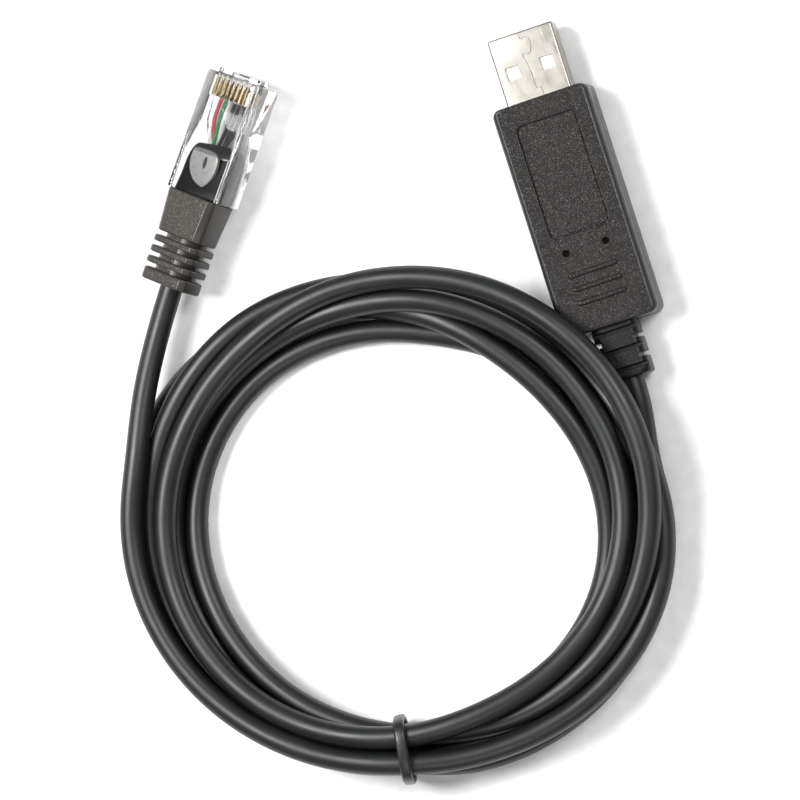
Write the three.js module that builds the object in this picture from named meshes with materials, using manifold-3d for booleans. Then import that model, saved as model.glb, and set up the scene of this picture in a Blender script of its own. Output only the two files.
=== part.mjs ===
// A coiled serial cable: a USB-A plug in a moulded converter housing at one end, a clear
// eight-way modular plug in a ribbed boot at the other, and a tie ring round the coil.
// Millimetres, z = 0 is the floor, +Z is up. The origin is the middle of the housing's
// underside, and +Y is the way the USB plug is pushed in.
import * as THREE from 'three';
import { mergeVertices } from 'three/addons/utils/BufferGeometryUtils.js';
import Module from 'manifold-3d';

const wasm = await Module();
wasm.setup();

// Clearances
const gap = 0.3; // between a piece and the neighbour that it rests in or meets
const slip = 0.1; // each side of a small piece in its slot
const past = 1; // how far a cutting shape runs past the face that it cuts

// Converter housing
const housingWidth = 17.6;
const housingLength = 41.6;
const housingHeight = 9;
const housingSideRadius = 1.3; // along the two long sides
const housingCornerRadius = 1.4; // the four upright corners
const housingRim = 0.5; // softened edge of the two ends

// What is on the housing's top face
const panel = { width: 11, length: 20.7, radius: 1.3, depth: 0.3, fromPlugEnd: 3.9 };
const dimple = { radius: 0.65, depth: 0.6, spacing: 7.3, fromPlugEnd: 27.4 };
const rib = { count: 3, width: 0.9, length: 9, pitch: 2.5, height: 0.4, fromPlugEnd: 31.4 };

// USB-A plug
const shell = { width: 12, height: 4.5, wall: 0.3, radius: 0.6, shown: 12, inside: 6 };
const latchHole = { width: 2.4, length: 2.3, spacing: 6.3, fromFront: 6.6 };
const tongue = { thickness: 1.9, fromFront: 0.6, length: 8.8 };
const usbContact = { width: 1.1, thickness: 0.25, fromFront: 1.2 };
const usbContactSpots = [
  { x: -3.5, length: 7.2 },
  { x: -1, length: 6.2 },
  { x: 1, length: 6.2 },
  { x: 3.5, length: 7.2 },
];

// Strain relief behind the housing
const relief = { width: 8.2, height: 6.6, length: 9.3, radius: 1.6 };
const reliefNeck = { width: 5.2, height: 4.2, depth: 2, radius: 0.8 };
const reliefSlot = { count: 5, width: 0.85, pitch: 1.7, fromEnd: 1.25, core: 4.9 };

// Cable, and how it leaves the strain relief and the boot; points chosen by hand
const cableDiameter = 4.1;
const usbLeadPoints = [
  [0, -30.7, 4.5], [0.05, -34.2, 4.4], [-0.15, -38, 4], [-0.7, -42.5, 3.7], [-1.3, -46.5, 3.3],
];
const plugLeadPoints = [
  [-72.8, 9.8, 5.3], [-74.6, 7.2, 5.3], [-78.3, 1.7, 5.4], [-82, -4.6, 6], [-84.7, -10.3, 6.9],
];

// Coil: an oval ring, squeezed and lifted where the tie holds it, raised over the housing
const coilCentre = { x: -46.8, y: -42.2 };
const coilTurn = THREE.MathUtils.degToRad(-18); // the oval's long axis against +X
const coilHalfLength = 42.4; // to the middle of the bundle
const coilHalfBreadth = 38.8;
const bundleWidth = 15.4;
const bundleHeight = 10.6;
const bundleRadius = 4.2;
const bundleOverHousing = housingHeight + cableDiameter + 2 * gap;
const crossing = { angle: THREE.MathUtils.degToRad(58), reach: 0.75 };

// Tie ring
const tie = { angle: THREE.MathUtils.degToRad(-88), reach: 0.5, width: 1.9, thickness: 1.3 };
const tiedWidth = 9;
const tiedHeight = 12.3;

// Modular plug with its boot, along its own +Y from the cable's end, contact side up
const plugTurn = THREE.MathUtils.degToRad(-38);
const plugRoll = THREE.MathUtils.degToRad(-23);
const boot = { width: 10.6, height: 8.3, chamfer: 1.7, length: 16.6, blockLength: 7.75 };
const bootBlockRear = { width: 9.6, height: 7.6 };
const bootEnd = { width: 9.8, height: 7.4, length: 2.2 };
const bootFlange = { count: 3, thickness: 1.15, space: 0.8 };
const bootCoreRadius = 3.3;
const plug = { width: 11.68, height: 6.5, length: 21.5, radius: 0.4 };
const plugCavity = { width: 8.6, height: 5, length: 12.6 };
const plugWindow = { width: 8, length: 6.4 };
const plugFlap = { width: 5, length: 5.7, thickness: 0.75, sunk: 0.15 };
const wireChannel = { width: 8.7, height: 1.4, length: 5.6 };
const pin = { count: 8, pitch: 1.02, thickness: 0.35, length: 3.4, sunk: 0.35, fromNose: 0.7 };
const wire = { count: 6, radius: 0.4, rowSpacing: 1.05, crowdedPitch: 0.6 };
const latch = { width: 6, thumbWidth: 3.2, thickness: 0.8, forward: 0.9, drop: 1.85 };
const latchLength = { arm: 13, thumb: 6.8 };
const jacketInPlug = 8.8;

// Colours
const blackPlastic = { color: 0x1b1b1c, roughness: 0.62, metalness: 0 };
const blackJacket = { color: 0x191b1b, roughness: 0.42, metalness: 0 };
const plated = { color: 0xc9c4b8, roughness: 0.3, metalness: 0.9 };
const gilded = { color: 0xc9a24a, roughness: 0.3, metalness: 0.9 };
const whitePlastic = { color: 0xe9e6df, roughness: 0.5, metalness: 0 };
const clearPlastic = { color: 0xdfe6e6, roughness: 0.12, metalness: 0, transparent: true, opacity: 0.4 };
const wireColours = [0xf0f0ec, 0xb3242b, 0x2a2a2c, 0x3f9a4a, 0xd9b52c, 0x2c4f9e];

// Turn a closed geometry into a solid that can be joined and cut.
const solid = (geometry) => {
  geometry.deleteAttribute('normal');
  geometry.deleteAttribute('uv');
  const merged = mergeVertices(geometry, 1e-4);
  return new wasm.Manifold(new wasm.Mesh({
    numProp: 3,
    vertProperties: merged.attributes.position.array,
    triVerts: Uint32Array.from(merged.index.array),
  }));
};

const join = (pieces) => pieces.reduce((whole, piece) => whole.add(piece));
const cut = (body, tools) => tools.reduce((left, tool) => left.subtract(tool), body);

// Turn a joined and cut solid back into a geometry.
const surface = (body) => {
  const { vertProperties, triVerts } = body.getMesh();
  const geometry = new THREE.BufferGeometry();
  geometry.setAttribute('position', new THREE.BufferAttribute(vertProperties, 3));
  geometry.setIndex(new THREE.BufferAttribute(triVerts, 1));
  geometry.computeVertexNormals();
  return geometry;
};

const piece = (name, geometry, finish) => {
  const mesh = new THREE.Mesh(geometry, new THREE.MeshStandardMaterial(finish));
  mesh.name = name;
  return mesh;
};

// A rectangle with round corners, centred on (x, y).
const roundedRectangle = (width, height, radius, x = 0, y = 0) => {
  const right = width / 2 - radius;
  const top = height / 2 - radius;
  const shape = new THREE.Shape();
  shape.absarc(x + right, y + top, radius, 0, Math.PI / 2);
  shape.absarc(x - right, y + top, radius, Math.PI / 2, Math.PI);
  shape.absarc(x - right, y - top, radius, Math.PI, 1.5 * Math.PI);
  shape.absarc(x + right, y - top, radius, 1.5 * Math.PI, 2 * Math.PI);
  shape.closePath();
  return shape;
};

// A rectangle with its corners cut off at 45 degrees.
const chamferedRectangle = (width, height, chamfer) => {
  const [right, top] = [width / 2, height / 2];
  return new THREE.Shape([
    [right, chamfer - top], [right, top - chamfer], [right - chamfer, top], [chamfer - right, top],
    [-right, top - chamfer], [-right, chamfer - top], [chamfer - right, -top], [right - chamfer, -top],
  ].map(([x, y]) => new THREE.Vector2(x, y)));
};

// Extrude an outline drawn in plan, up from z = bottom.
const upright = (shape, bottom, height, arcs = 3) => new THREE.ExtrudeGeometry(shape, {
  depth: height, bevelEnabled: false, curveSegments: arcs,
}).translate(0, 0, bottom);

// Extrude a cross-section drawn in X and Z, along Y from one end to the other.
const lengthwise = (shape, start, end, arcs = 3) => new THREE.ExtrudeGeometry(shape, {
  depth: end - start, bevelEnabled: false, curveSegments: arcs,
}).rotateX(Math.PI / 2).translate(0, end, 0);

// Extrude a side view drawn in Y and Z, as wide as asked and centred on X.
const crosswise = (points, width) => {
  const shape = new THREE.Shape(points.map(([y, z]) => new THREE.Vector2(y, z)));
  return new THREE.ExtrudeGeometry(shape, { depth: width, bevelEnabled: false })
    .rotateX(Math.PI / 2).rotateZ(Math.PI / 2).translate(-width / 2, 0, 0);
};

const block = (x, y, z) => new THREE.BoxGeometry(x[1] - x[0], y[1] - y[0], z[1] - z[0])
  .translate((x[0] + x[1]) / 2, (y[0] + y[1]) / 2, (z[0] + z[1]) / 2);

const centred = (size, middle = 0) => [middle - size / 2, middle + size / 2];

const circle = (radius) => new THREE.Shape().absarc(0, 0, radius, 0, 2 * Math.PI);

// A round tube along hand-chosen points.
const tube = (points, radius, { steps, sides = 10 }) => {
  const path = new THREE.CatmullRomCurve3(points.map(([x, y, z]) => new THREE.Vector3(x, y, z)));
  return new THREE.ExtrudeGeometry(circle(radius), {
    steps, curveSegments: sides / 2, extrudePath: path,
  });
};

const plugEndY = housingLength / 2;
const cableEndY = -housingLength / 2;
const midHeight = housingHeight / 2;
const shellFrontY = plugEndY + shell.shown;
const shellRearY = plugEndY - shell.inside;

// The housing: a bar with rounded long sides, trimmed to a plan with round corners.
function housing() {
  const bar = lengthwise(
    roundedRectangle(housingWidth, housingHeight, housingSideRadius, 0, midHeight),
    cableEndY, plugEndY,
  );
  const plan = new THREE.ExtrudeGeometry(
    roundedRectangle(housingWidth, housingLength, housingCornerRadius),
    {
      depth: housingHeight - 2 * housingRim, bevelThickness: housingRim, bevelSize: housingRim,
      bevelOffset: -housingRim, bevelSegments: 3, curveSegments: 3,
    },
  ).translate(0, 0, housingRim);
  const shellPocket = lengthwise(
    roundedRectangle(shell.width + 2 * gap, shell.height + 2 * gap, shell.radius + gap, 0, midHeight),
    shellRearY - gap, plugEndY + past, 2,
  );
  const neckHole = lengthwise(
    roundedRectangle(
      reliefNeck.width + 2 * gap, reliefNeck.height + 2 * gap, reliefNeck.radius + gap, 0, midHeight,
    ),
    cableEndY - past, cableEndY + reliefNeck.depth + gap, 2,
  );
  const panelCut = upright(
    roundedRectangle(
      panel.width, panel.length, panel.radius,
      0, plugEndY - panel.fromPlugEnd - panel.length / 2,
    ),
    housingHeight - panel.depth, panel.depth + past,
  );
  const dimples = [-1, 1].map((side) => upright(circle(dimple.radius), housingHeight - dimple.depth,
    dimple.depth + past, 6).translate(side * dimple.spacing / 2, plugEndY - dimple.fromPlugEnd, 0));
  const ribs = Array.from({ length: rib.count }, (_, i) => upright(
    roundedRectangle(
      rib.length, rib.width, rib.width / 2, 0, plugEndY - rib.fromPlugEnd - i * rib.pitch,
    ),
    midHeight, housingHeight + rib.height - midHeight, 2,
  ));
  const body = cut(
    solid(bar).intersect(solid(plan)),
    [shellPocket, neckHole, panelCut, ...dimples].map(solid),
  );
  return surface(join([body, ...ribs.map(solid)]));
}

// The folded metal shell, open at both ends, with two latch holes in each wide side.
function usbShell() {
  const outline = roundedRectangle(shell.width, shell.height, shell.radius, 0, midHeight);
  outline.holes.push(roundedRectangle(
    shell.width - 2 * shell.wall, shell.height - 2 * shell.wall,
    shell.radius - shell.wall / 2, 0, midHeight,
  ));
  const holes = [-1, 1].map((side) => block(
    centred(latchHole.width, side * latchHole.spacing / 2),
    centred(latchHole.length, shellFrontY - latchHole.fromFront),
    centred(shell.height + 2 * past, midHeight),
  ));
  return surface(cut(solid(lengthwise(outline, shellRearY, shellFrontY, 2)), holes.map(solid)));
}

const tongueTopZ = midHeight + shell.height / 2 - shell.wall - slip;
const tongueUnderZ = tongueTopZ - tongue.thickness;

// The insert: it fills the shell's rear, and its tongue takes the upper half in front.
function usbTongue() {
  const frontY = shellFrontY - tongue.fromFront;
  const stepY = frontY - tongue.length;
  const bottomZ = midHeight - shell.height / 2 + shell.wall + slip;
  return crosswise([
    [shellRearY, bottomZ], [stepY, bottomZ], [stepY, tongueUnderZ], [frontY, tongueUnderZ],
    [frontY, tongueTopZ], [shellRearY, tongueTopZ],
  ], shell.width - 2 * shell.wall - 4 * slip);
}

function usbContacts() {
  const frontY = shellFrontY - usbContact.fromFront;
  return usbContactSpots.map(({ x, length }, i) => piece(`usb_contact_${i + 1}`, block(
    centred(usbContact.width, x), [frontY - length, frontY],
    [tongueUnderZ - slip / 2 - usbContact.thickness, tongueUnderZ - slip / 2],
  ), gilded));
}

const reliefStartY = cableEndY - gap;
const reliefEndY = reliefStartY - relief.length;

// The strain relief: slots across the top and bottom take turns with notches in the sides.
function strainRelief() {
  const body = lengthwise(
    roundedRectangle(relief.width, relief.height, relief.radius, 0, midHeight),
    reliefEndY, reliefStartY,
  );
  const neck = lengthwise(
    roundedRectangle(reliefNeck.width, reliefNeck.height, reliefNeck.radius, 0, midHeight),
    reliefStartY - slip, cableEndY + reliefNeck.depth, 2,
  );
  const slots = Array.from({ length: reliefSlot.count }, (_, i) => {
    const y = centred(reliefSlot.width, reliefEndY + reliefSlot.fromEnd + i * reliefSlot.pitch);
    return [-1, 1].map((side) => {
      const near = side * reliefSlot.core / 2;
      const far = side * relief.width;
      const band = [Math.min(near, far), Math.max(near, far)];
      if (i % 2) return block(band, y, centred(reliefSlot.core, midHeight));
      return block(centred(relief.width + past), y, band.map((z) => z + midHeight));
    });
  }).flat();
  return surface(join([cut(solid(body), slots.map(solid)), solid(neck)]));
}

// Bend a plain lathe ring: place() says where each point of it goes.
const ringRadius = 20;
const bentRing = (outline, segments, place) => {
  const points = outline.map(({ x, y }) => new THREE.Vector2(ringRadius + x, y));
  const ring = new THREE.LatheGeometry([...points, points[0]], segments).rotateX(Math.PI / 2);
  const position = ring.attributes.position;
  const from = new THREE.Vector3();
  for (let i = 0; i < position.count; i += 1) {
    from.fromBufferAttribute(position, i);
    const out = Math.hypot(from.x, from.y) - ringRadius;
    const to = place(Math.atan2(from.y, from.x), out, from.z);
    position.setXYZ(i, to.x, to.y, to.z);
  }
  return ring;
};

const ovalRadius = (angle, halfX, halfY) => 1 / Math.hypot(Math.cos(angle) / halfX, Math.sin(angle) / halfY);

// A smooth hump: 1 at the given angle, fading to 0 over its reach.
const hump = (angle, { angle: at, reach }) => {
  const away = Math.atan2(Math.sin(angle - at), Math.cos(angle - at));
  return Math.exp(-((away / reach) ** 2));
};

const coilFrame = new THREE.Matrix4().makeRotationZ(coilTurn).setPosition(coilCentre.x, coilCentre.y, 0);
const tiedBottom = tie.thickness + gap;

// The outer shape of the coiled cable, with room for what it lies against.
function coil() {
  const outline = roundedRectangle(1, 1, bundleRadius / bundleWidth).getPoints(2);
  const ring = bentRing(outline, 72, (angle, out, height) => {
    const tied = hump(angle, tie);
    const width = bundleWidth + (tiedWidth - bundleWidth) * tied;
    const bottom = tiedBottom * tied;
    const top = bundleHeight + (tiedBottom + tiedHeight - bundleHeight) * tied
      + (bundleOverHousing - bundleHeight) * hump(angle, crossing);
    const radius = ovalRadius(angle, coilHalfLength, coilHalfBreadth) + out * width;
    return new THREE.Vector3(
      radius * Math.cos(angle), radius * Math.sin(angle), bottom + (height + 0.5) * (top - bottom),
    );
  });
  ring.applyMatrix4(coilFrame);
  const roomForHousing = block(
    centred(housingWidth + 2 * gap), [cableEndY - gap, plugEndY], [-past, housingHeight + gap],
  );
  const roomForRelief = block(
    centred(relief.width + 2 * gap), [reliefEndY - gap, cableEndY],
    [-past, midHeight + relief.height / 2 + gap],
  );
  const roomForLeads = [usbLeadPoints, plugLeadPoints].map((points) => {
    const [beforeLast, last] = points.slice(-2).map((point) => new THREE.Vector3(...point));
    const beyond = last.clone().add(last.clone().sub(beforeLast).setLength(gap));
    return tube([...points, beyond.toArray()], cableDiameter / 2 + gap, { steps: 10 });
  });
  return surface(cut(solid(ring), [roomForHousing, roomForRelief, ...roomForLeads].map(solid)));
}

// The tie: a flat band closed round the bundle, just under and over it.
function tieRing() {
  const halfWidth = (tiedWidth + tie.thickness) / 2 + gap;
  const halfHeight = (tiedHeight + tie.thickness) / 2 + gap;
  const outline = roundedRectangle(tie.thickness, tie.width, tie.thickness / 2 - slip).getPoints(2);
  const squareness = 0.6;
  const ring = bentRing(outline, 40, (angle, out, across) => {
    const corner = 1 + squareness * Math.sin(2 * angle) ** 2 * (1 - Math.SQRT1_2);
    const radius = ovalRadius(angle, halfWidth, halfHeight) * corner + out;
    return new THREE.Vector3(radius * Math.cos(angle), radius * Math.sin(angle), across);
  });
  const radius = ovalRadius(tie.angle, coilHalfLength, coilHalfBreadth);
  return ring
    .rotateX(Math.PI / 2)
    .rotateZ(tie.angle)
    .translate(radius * Math.cos(tie.angle), radius * Math.sin(tie.angle), halfHeight + tie.thickness / 2)
    .applyMatrix4(coilFrame);
}

const plugRearY = boot.length + gap;
const plugNoseY = plugRearY + plug.length;
const plugTopZ = plug.height / 2;

// The boot: a tapered front block, thin flanges round a core, and a thicker end flange.
function plugBoot() {
  const blockStartY = boot.length - boot.blockLength;
  const front = lengthwise(
    chamferedRectangle(boot.width, boot.height, boot.chamfer), blockStartY, boot.length,
  );
  const position = front.attributes.position;
  for (let i = 0; i < position.count; i += 1) {
    const back = (boot.length - position.getY(i)) / boot.blockLength;
    position.setX(i, position.getX(i) * (1 + (bootBlockRear.width / boot.width - 1) * back));
    position.setZ(i, position.getZ(i) * (1 + (bootBlockRear.height / boot.height - 1) * back));
  }
  const flanges = Array.from({ length: bootFlange.count }, (_, i) => {
    const start = bootEnd.length + bootFlange.space + i * (bootFlange.thickness + bootFlange.space);
    return lengthwise(
      chamferedRectangle(boot.width, boot.height, boot.chamfer), start, start + bootFlange.thickness,
    );
  });
  const end = lengthwise(
    chamferedRectangle(bootEnd.width, bootEnd.height, boot.chamfer), 0, bootEnd.length,
  );
  const core = lengthwise(circle(bootCoreRadius), past, blockStartY + past, 8);
  const bore = lengthwise(circle(cableDiameter / 2 + gap), -past, boot.length + past, 8);
  return surface(cut(join([front, ...flanges, end, core].map(solid)), [solid(bore)]));
}

const pinX = (i) => (i - (pin.count - 1) / 2) * pin.pitch;
const wireX = (i) => (i - (wire.count - 1) / 2) * pin.pitch;
const channelEndY = plugRearY + plugCavity.length + wireChannel.length;

// The clear body: cavity, window with its flap, wire channel, pin slots and the latch.
function plugBody() {
  const body = lengthwise(roundedRectangle(plug.width, plug.height, plug.radius), plugRearY, plugNoseY, 2);
  const cavity = block(
    centred(plugCavity.width), [plugRearY - past, plugRearY + plugCavity.length],
    centred(plugCavity.height),
  );
  const window = block(
    centred(plugWindow.width), [plugRearY - past, plugRearY + plugWindow.length], [0, plugTopZ + past],
  );
  const channel = block(
    centred(wireChannel.width), [plugRearY + plugCavity.length - past, channelEndY],
    centred(wireChannel.height),
  );
  const slots = Array.from({ length: pin.count }, (_, i) => block(
    centred(pin.thickness + 2 * slip, pinX(i)),
    [plugNoseY - pin.fromNose - pin.length - slip, plugNoseY + past], [0, plugTopZ + past],
  ));
  const flapFrontY = plugRearY + plugWindow.length;
  const flap = block(
    centred(plugFlap.width), [flapFrontY - plugFlap.length, flapFrontY + past],
    [plugTopZ - plugFlap.sunk - plugFlap.thickness, plugTopZ - plugFlap.sunk],
  );
  return surface(join([
    cut(solid(body), [cavity, window, channel, ...slots].map(solid)),
    solid(flap), ...latchPieces().map(solid),
  ]));
}

// The latch springs from under the nose and runs back, away from the body; its thumb end is narrow.
function latchPieces() {
  const bottom = -plugTopZ;
  const frontY = plugNoseY + latch.forward;
  const rootY = plugNoseY - latch.forward;
  const length = latchLength.arm + latchLength.thumb;
  const under = (y) => bottom - latch.thickness - latch.drop * (rootY - y) / length;
  const armEndY = rootY - latchLength.arm;
  const thumbEndY = rootY - length;
  const arm = crosswise([
    [rootY, bottom + slip], [rootY, bottom - gap], [armEndY, under(armEndY) + latch.thickness],
    [armEndY, under(armEndY)], [rootY, bottom - gap - latch.thickness], [plugNoseY, bottom - latch.thickness],
    [frontY, bottom], [frontY, bottom + 2 * latch.thickness], [plugNoseY - slip, bottom + 2 * latch.thickness],
  ], latch.width);
  const thumb = crosswise([
    [armEndY + slip, under(armEndY) + latch.thickness], [thumbEndY, under(thumbEndY) + latch.thickness],
    [thumbEndY, under(thumbEndY)], [armEndY + slip, under(armEndY)],
  ], latch.thumbWidth);
  return [arm, thumb];
}

function plugPins() {
  const rearY = plugNoseY - pin.fromNose - pin.length;
  return Array.from({ length: pin.count }, (_, i) => piece(`rj45_contact_${i + 1}`, block(
    centred(pin.thickness, pinX(i)), [rearY, rearY + pin.length],
    [wireChannel.height / 2 - slip, plugTopZ - pin.sunk],
  ), gilded));
}

// The wires leave the jacket in two rows and spread out to one row under the pins.
function plugWires() {
  const startY = plugRearY + jacketInPlug + gap;
  const spreadY = plugRearY + plugCavity.length - gap;
  return Array.from({ length: wire.count }, (_, i) => {
    const crowdedX = (i - (wire.count - 1) / 2) * wire.crowdedPitch;
    const row = (i % 2 - 0.5) * wire.rowSpacing;
    const points = [
      [crowdedX, startY, row], [(crowdedX + wireX(i)) / 2, (startY + spreadY) / 2, row / 2],
      [wireX(i), spreadY, 0], [wireX(i), channelEndY - gap, 0],
    ];
    return piece(`rj45_wire_${i + 1}`, tube(points, wire.radius, { steps: 6, sides: 6 }), {
      color: wireColours[i], roughness: 0.5, metalness: 0,
    });
  });
}

// Everything on the modular plug's end, turned as it lies and let down to the floor.
function plugEnd() {
  const jacket = lengthwise(circle(cableDiameter / 2), 0, plugRearY + jacketInPlug, 5);
  const lying = new THREE.Group();
  lying.add(
    piece('rj45_boot', plugBoot(), blackPlastic),
    piece('rj45_jacket_end', jacket, blackJacket),
    piece('rj45_body', plugBody(), clearPlastic),
    ...plugPins(), ...plugWires(),
  );
  lying.rotation.y = plugRoll;
  const turned = new THREE.Group();
  turned.add(lying);
  turned.rotation.z = plugTurn;
  const floor = new THREE.Box3().setFromObject(turned, true).min.z;
  const lead = new THREE.Vector3(...plugLeadPoints[0]);
  const away = new THREE.Vector3(-Math.sin(plugTurn), Math.cos(plugTurn), 0).multiplyScalar(gap);
  turned.position.set(lead.x + away.x, lead.y + away.y, -floor);
  return turned;
}

const group = new THREE.Group();
group.add(
  piece('usb_shell', usbShell(), plated),
  piece('usb_tongue', usbTongue(), whitePlastic),
  ...usbContacts(),
  piece('usb_housing', housing(), blackPlastic),
  piece('usb_strain_relief', strainRelief(), blackPlastic),
  piece('cable_usb_lead', tube(usbLeadPoints, cableDiameter / 2, { steps: 6 }), blackJacket),
  piece('cable_coil', coil(), blackJacket),
  piece('cable_plug_lead', tube(plugLeadPoints, cableDiameter / 2, { steps: 6 }), blackJacket),
  piece('coil_tie', tieRing(), blackPlastic),
  plugEnd(),
);

export default group;
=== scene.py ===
"""Dressed model of a coiled USB to serial cable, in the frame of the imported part.

The origin is on the table under the middle of the converter housing. +Y is the way
its plug is pushed in and +Z is up. Sizes are millimetres, and each finished mesh is
brought to metres at the end.
"""
import logging
import math
from dataclasses import dataclass
from enum import Enum
from typing import Any, Iterable, Sequence

import bmesh
import bpy
import numpy as np
from mathutils import Matrix, Vector


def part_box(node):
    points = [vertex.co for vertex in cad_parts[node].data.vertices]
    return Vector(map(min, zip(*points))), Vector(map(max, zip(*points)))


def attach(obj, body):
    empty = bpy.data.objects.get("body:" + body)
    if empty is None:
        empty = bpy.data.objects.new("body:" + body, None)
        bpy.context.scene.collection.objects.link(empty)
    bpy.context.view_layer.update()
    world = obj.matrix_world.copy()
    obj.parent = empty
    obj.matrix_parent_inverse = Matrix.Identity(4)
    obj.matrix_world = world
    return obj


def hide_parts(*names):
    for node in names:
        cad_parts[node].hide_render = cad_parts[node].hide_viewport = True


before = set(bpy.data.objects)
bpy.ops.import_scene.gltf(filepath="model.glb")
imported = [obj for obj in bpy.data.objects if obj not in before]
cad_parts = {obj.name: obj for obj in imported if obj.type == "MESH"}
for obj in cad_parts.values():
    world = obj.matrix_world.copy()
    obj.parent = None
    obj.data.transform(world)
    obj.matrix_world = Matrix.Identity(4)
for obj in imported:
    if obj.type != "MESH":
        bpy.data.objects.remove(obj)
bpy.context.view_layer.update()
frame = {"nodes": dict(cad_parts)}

LOG = logging.getLogger("usb_serial_cable")
METRE = 0.001
Point = tuple[float, float, float]
Station = tuple[float, float]
Ring = list[Vector]
Colour = tuple[float, float, float]


class Slot(Enum):
    """The record's material slots, one name for each kind of dressed piece."""

    METAL = "plated_steel"
    HOUSING = "black_housing"
    RELIEF = "black_relief"
    JACKET = "black_jacket"
    TIE = "black_tie"
    BOOT = "black_boot"
    CLEAR = "clear_plug"


class Cut(Enum):
    """What a second solid does to the first."""

    TAKE = "DIFFERENCE"
    JOIN = "UNION"


class Board:
    """Adds and joins the nodes of one tree."""

    def __init__(self, tree: bpy.types.NodeTree) -> None:
        """Keeps the tree that the nodes go into.

        Args:
            tree: A material's or a form's node tree.
        """
        self.tree = tree

    def add(self, kind: str, inputs: dict[Any, Any] | None = None, **settings: Any) -> bpy.types.Node:
        """Adds one node.

        Args:
            kind: The node's type.
            inputs: A value, or another node's socket, for each input.
            settings: The node's own settings.

        Returns:
            The new node.
        """
        node = self.tree.nodes.new(kind)
        for name, value in settings.items():
            setattr(node, name, value)
        for name, value in (inputs or {}).items():
            socket = node.inputs[name]
            if isinstance(value, bpy.types.NodeSocket):
                self.tree.links.new(value, socket)
            else:
                socket.default_value = value
        return node

    def maths(self, operation: str, *values: Any, clamp: bool = False) -> bpy.types.NodeSocket:
        """Adds one Math node.

        Args:
            operation: What it does.
            values: Its numbers or sockets, in order.
            clamp: Whether the result stays between 0 and 1.

        Returns:
            The result's socket.
        """
        node = self.add("ShaderNodeMath", dict(enumerate(values)), operation=operation, use_clamp=clamp)
        return node.outputs[0]

    def spread(self, value: Any, low: float, high: float, to_low: float = 0.0,
               to_high: float = 1.0) -> bpy.types.NodeSocket:
        """Maps a range softly onto another.

        Args:
            value: The socket that is mapped.
            low: Where the range starts.
            high: Where it ends.
            to_low: What its start becomes.
            to_high: What its end becomes.

        Returns:
            The result's socket.
        """
        node = self.add("ShaderNodeMapRange", {0: value, 1: low, 2: high, 3: to_low, 4: to_high},
                        interpolation_type="SMOOTHSTEP")
        return node.outputs[0]

    def blend(self, factor: Any, first: Any, second: Any) -> bpy.types.NodeSocket:
        """Mixes two colours.

        Args:
            factor: The share of the second.
            first: The colour at 0.
            second: The colour at 1.

        Returns:
            The mixed colour's socket.
        """
        node = self.add("ShaderNodeMix", {0: factor, 6: first, 7: second}, data_type="RGBA")
        return node.outputs[2]


class Coat(Board):
    """The nodes of one material, with the patterns that a finish is made of."""

    def __init__(self, tree: bpy.types.NodeTree, colour: Colour) -> None:
        """Finds the shader and reads the piece's own place.

        Args:
            tree: The material's node tree.
            colour: The material's middle tone.
        """
        super().__init__(tree)
        self.shader = tree.nodes["Principled BSDF"]
        self.colour = colour
        where = self.add("ShaderNodeTexCoord").outputs["Object"]
        self.place = self.add("ShaderNodeVectorMath", {0: where, "Scale": 1 / METRE},
                              operation="SCALE").outputs[0]

    def drive(self, name: str, value: bpy.types.NodeSocket) -> None:
        """Links a value to one of the shader's sockets.

        Args:
            name: The socket's name.
            value: What drives it.
        """
        self.tree.links.new(value, self.shader.inputs[name])

    def speckle(self, size: float, detail: float = 2.0, rough: float = 0.5,
                place: Any = None) -> bpy.types.NodeSocket:
        """Adds a noise pattern.

        Args:
            size: The size of its grains, in millimetres.
            detail: How many finer layers it has.
            rough: How strong the finer layers are.
            place: Where it is read, if not at the piece's own place.

        Returns:
            The pattern's value.
        """
        return self.add("ShaderNodeTexNoise", {"Vector": place or self.place, "Scale": 1 / size,
                                               "Detail": detail, "Roughness": rough}).outputs[0]

    def stretched(self, size: float, ways: Point, turn: float = 0.0, detail: float = 2.0,
                  rough: float = 0.5, place: Any = None) -> bpy.types.NodeSocket:
        """Adds a noise pattern that is drawn out one way.

        Args:
            size: The size of its grains, in millimetres.
            ways: How closely it is packed, by axis.
            turn: How far it is turned about the upright axis, in radians.
            detail: How many finer layers it has.
            rough: How strong the finer layers are.
            place: Where it is read, if not at the piece's own place.

        Returns:
            The pattern's value.
        """
        drawn = self.add("ShaderNodeMapping", {"Vector": place or self.place, "Scale": ways,
                                               "Rotation": (0.0, 0.0, turn)}).outputs[0]
        return self.speckle(size, detail, rough, drawn)

    def tones(self, change: float) -> list[tuple[float, ...]]:
        """The colour made darker and lighter.

        Args:
            change: By how much, as a share.

        Returns:
            The dark and the light colour.
        """
        return [(*[min(1.0, c * share) for c in self.colour], 1.0) for share in (1 - change, 1 + change)]

    def tint(self, factor: Any, change: float) -> None:
        """Varies the colour a little.

        Args:
            factor: The pattern that drives it.
            change: How much lighter and darker it gets, as a share.
        """
        self.drive("Base Color", self.blend(factor, *self.tones(change)))

    def emboss(self, height: Any, depth: float) -> None:
        """Presses a pattern into the surface.

        Args:
            height: The pattern.
            depth: Its depth, in millimetres.
        """
        bump = self.add("ShaderNodeBump", {"Strength": 1.0, "Distance": depth * METRE, "Height": height})
        self.drive("Normal", bump.outputs[0])


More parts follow.
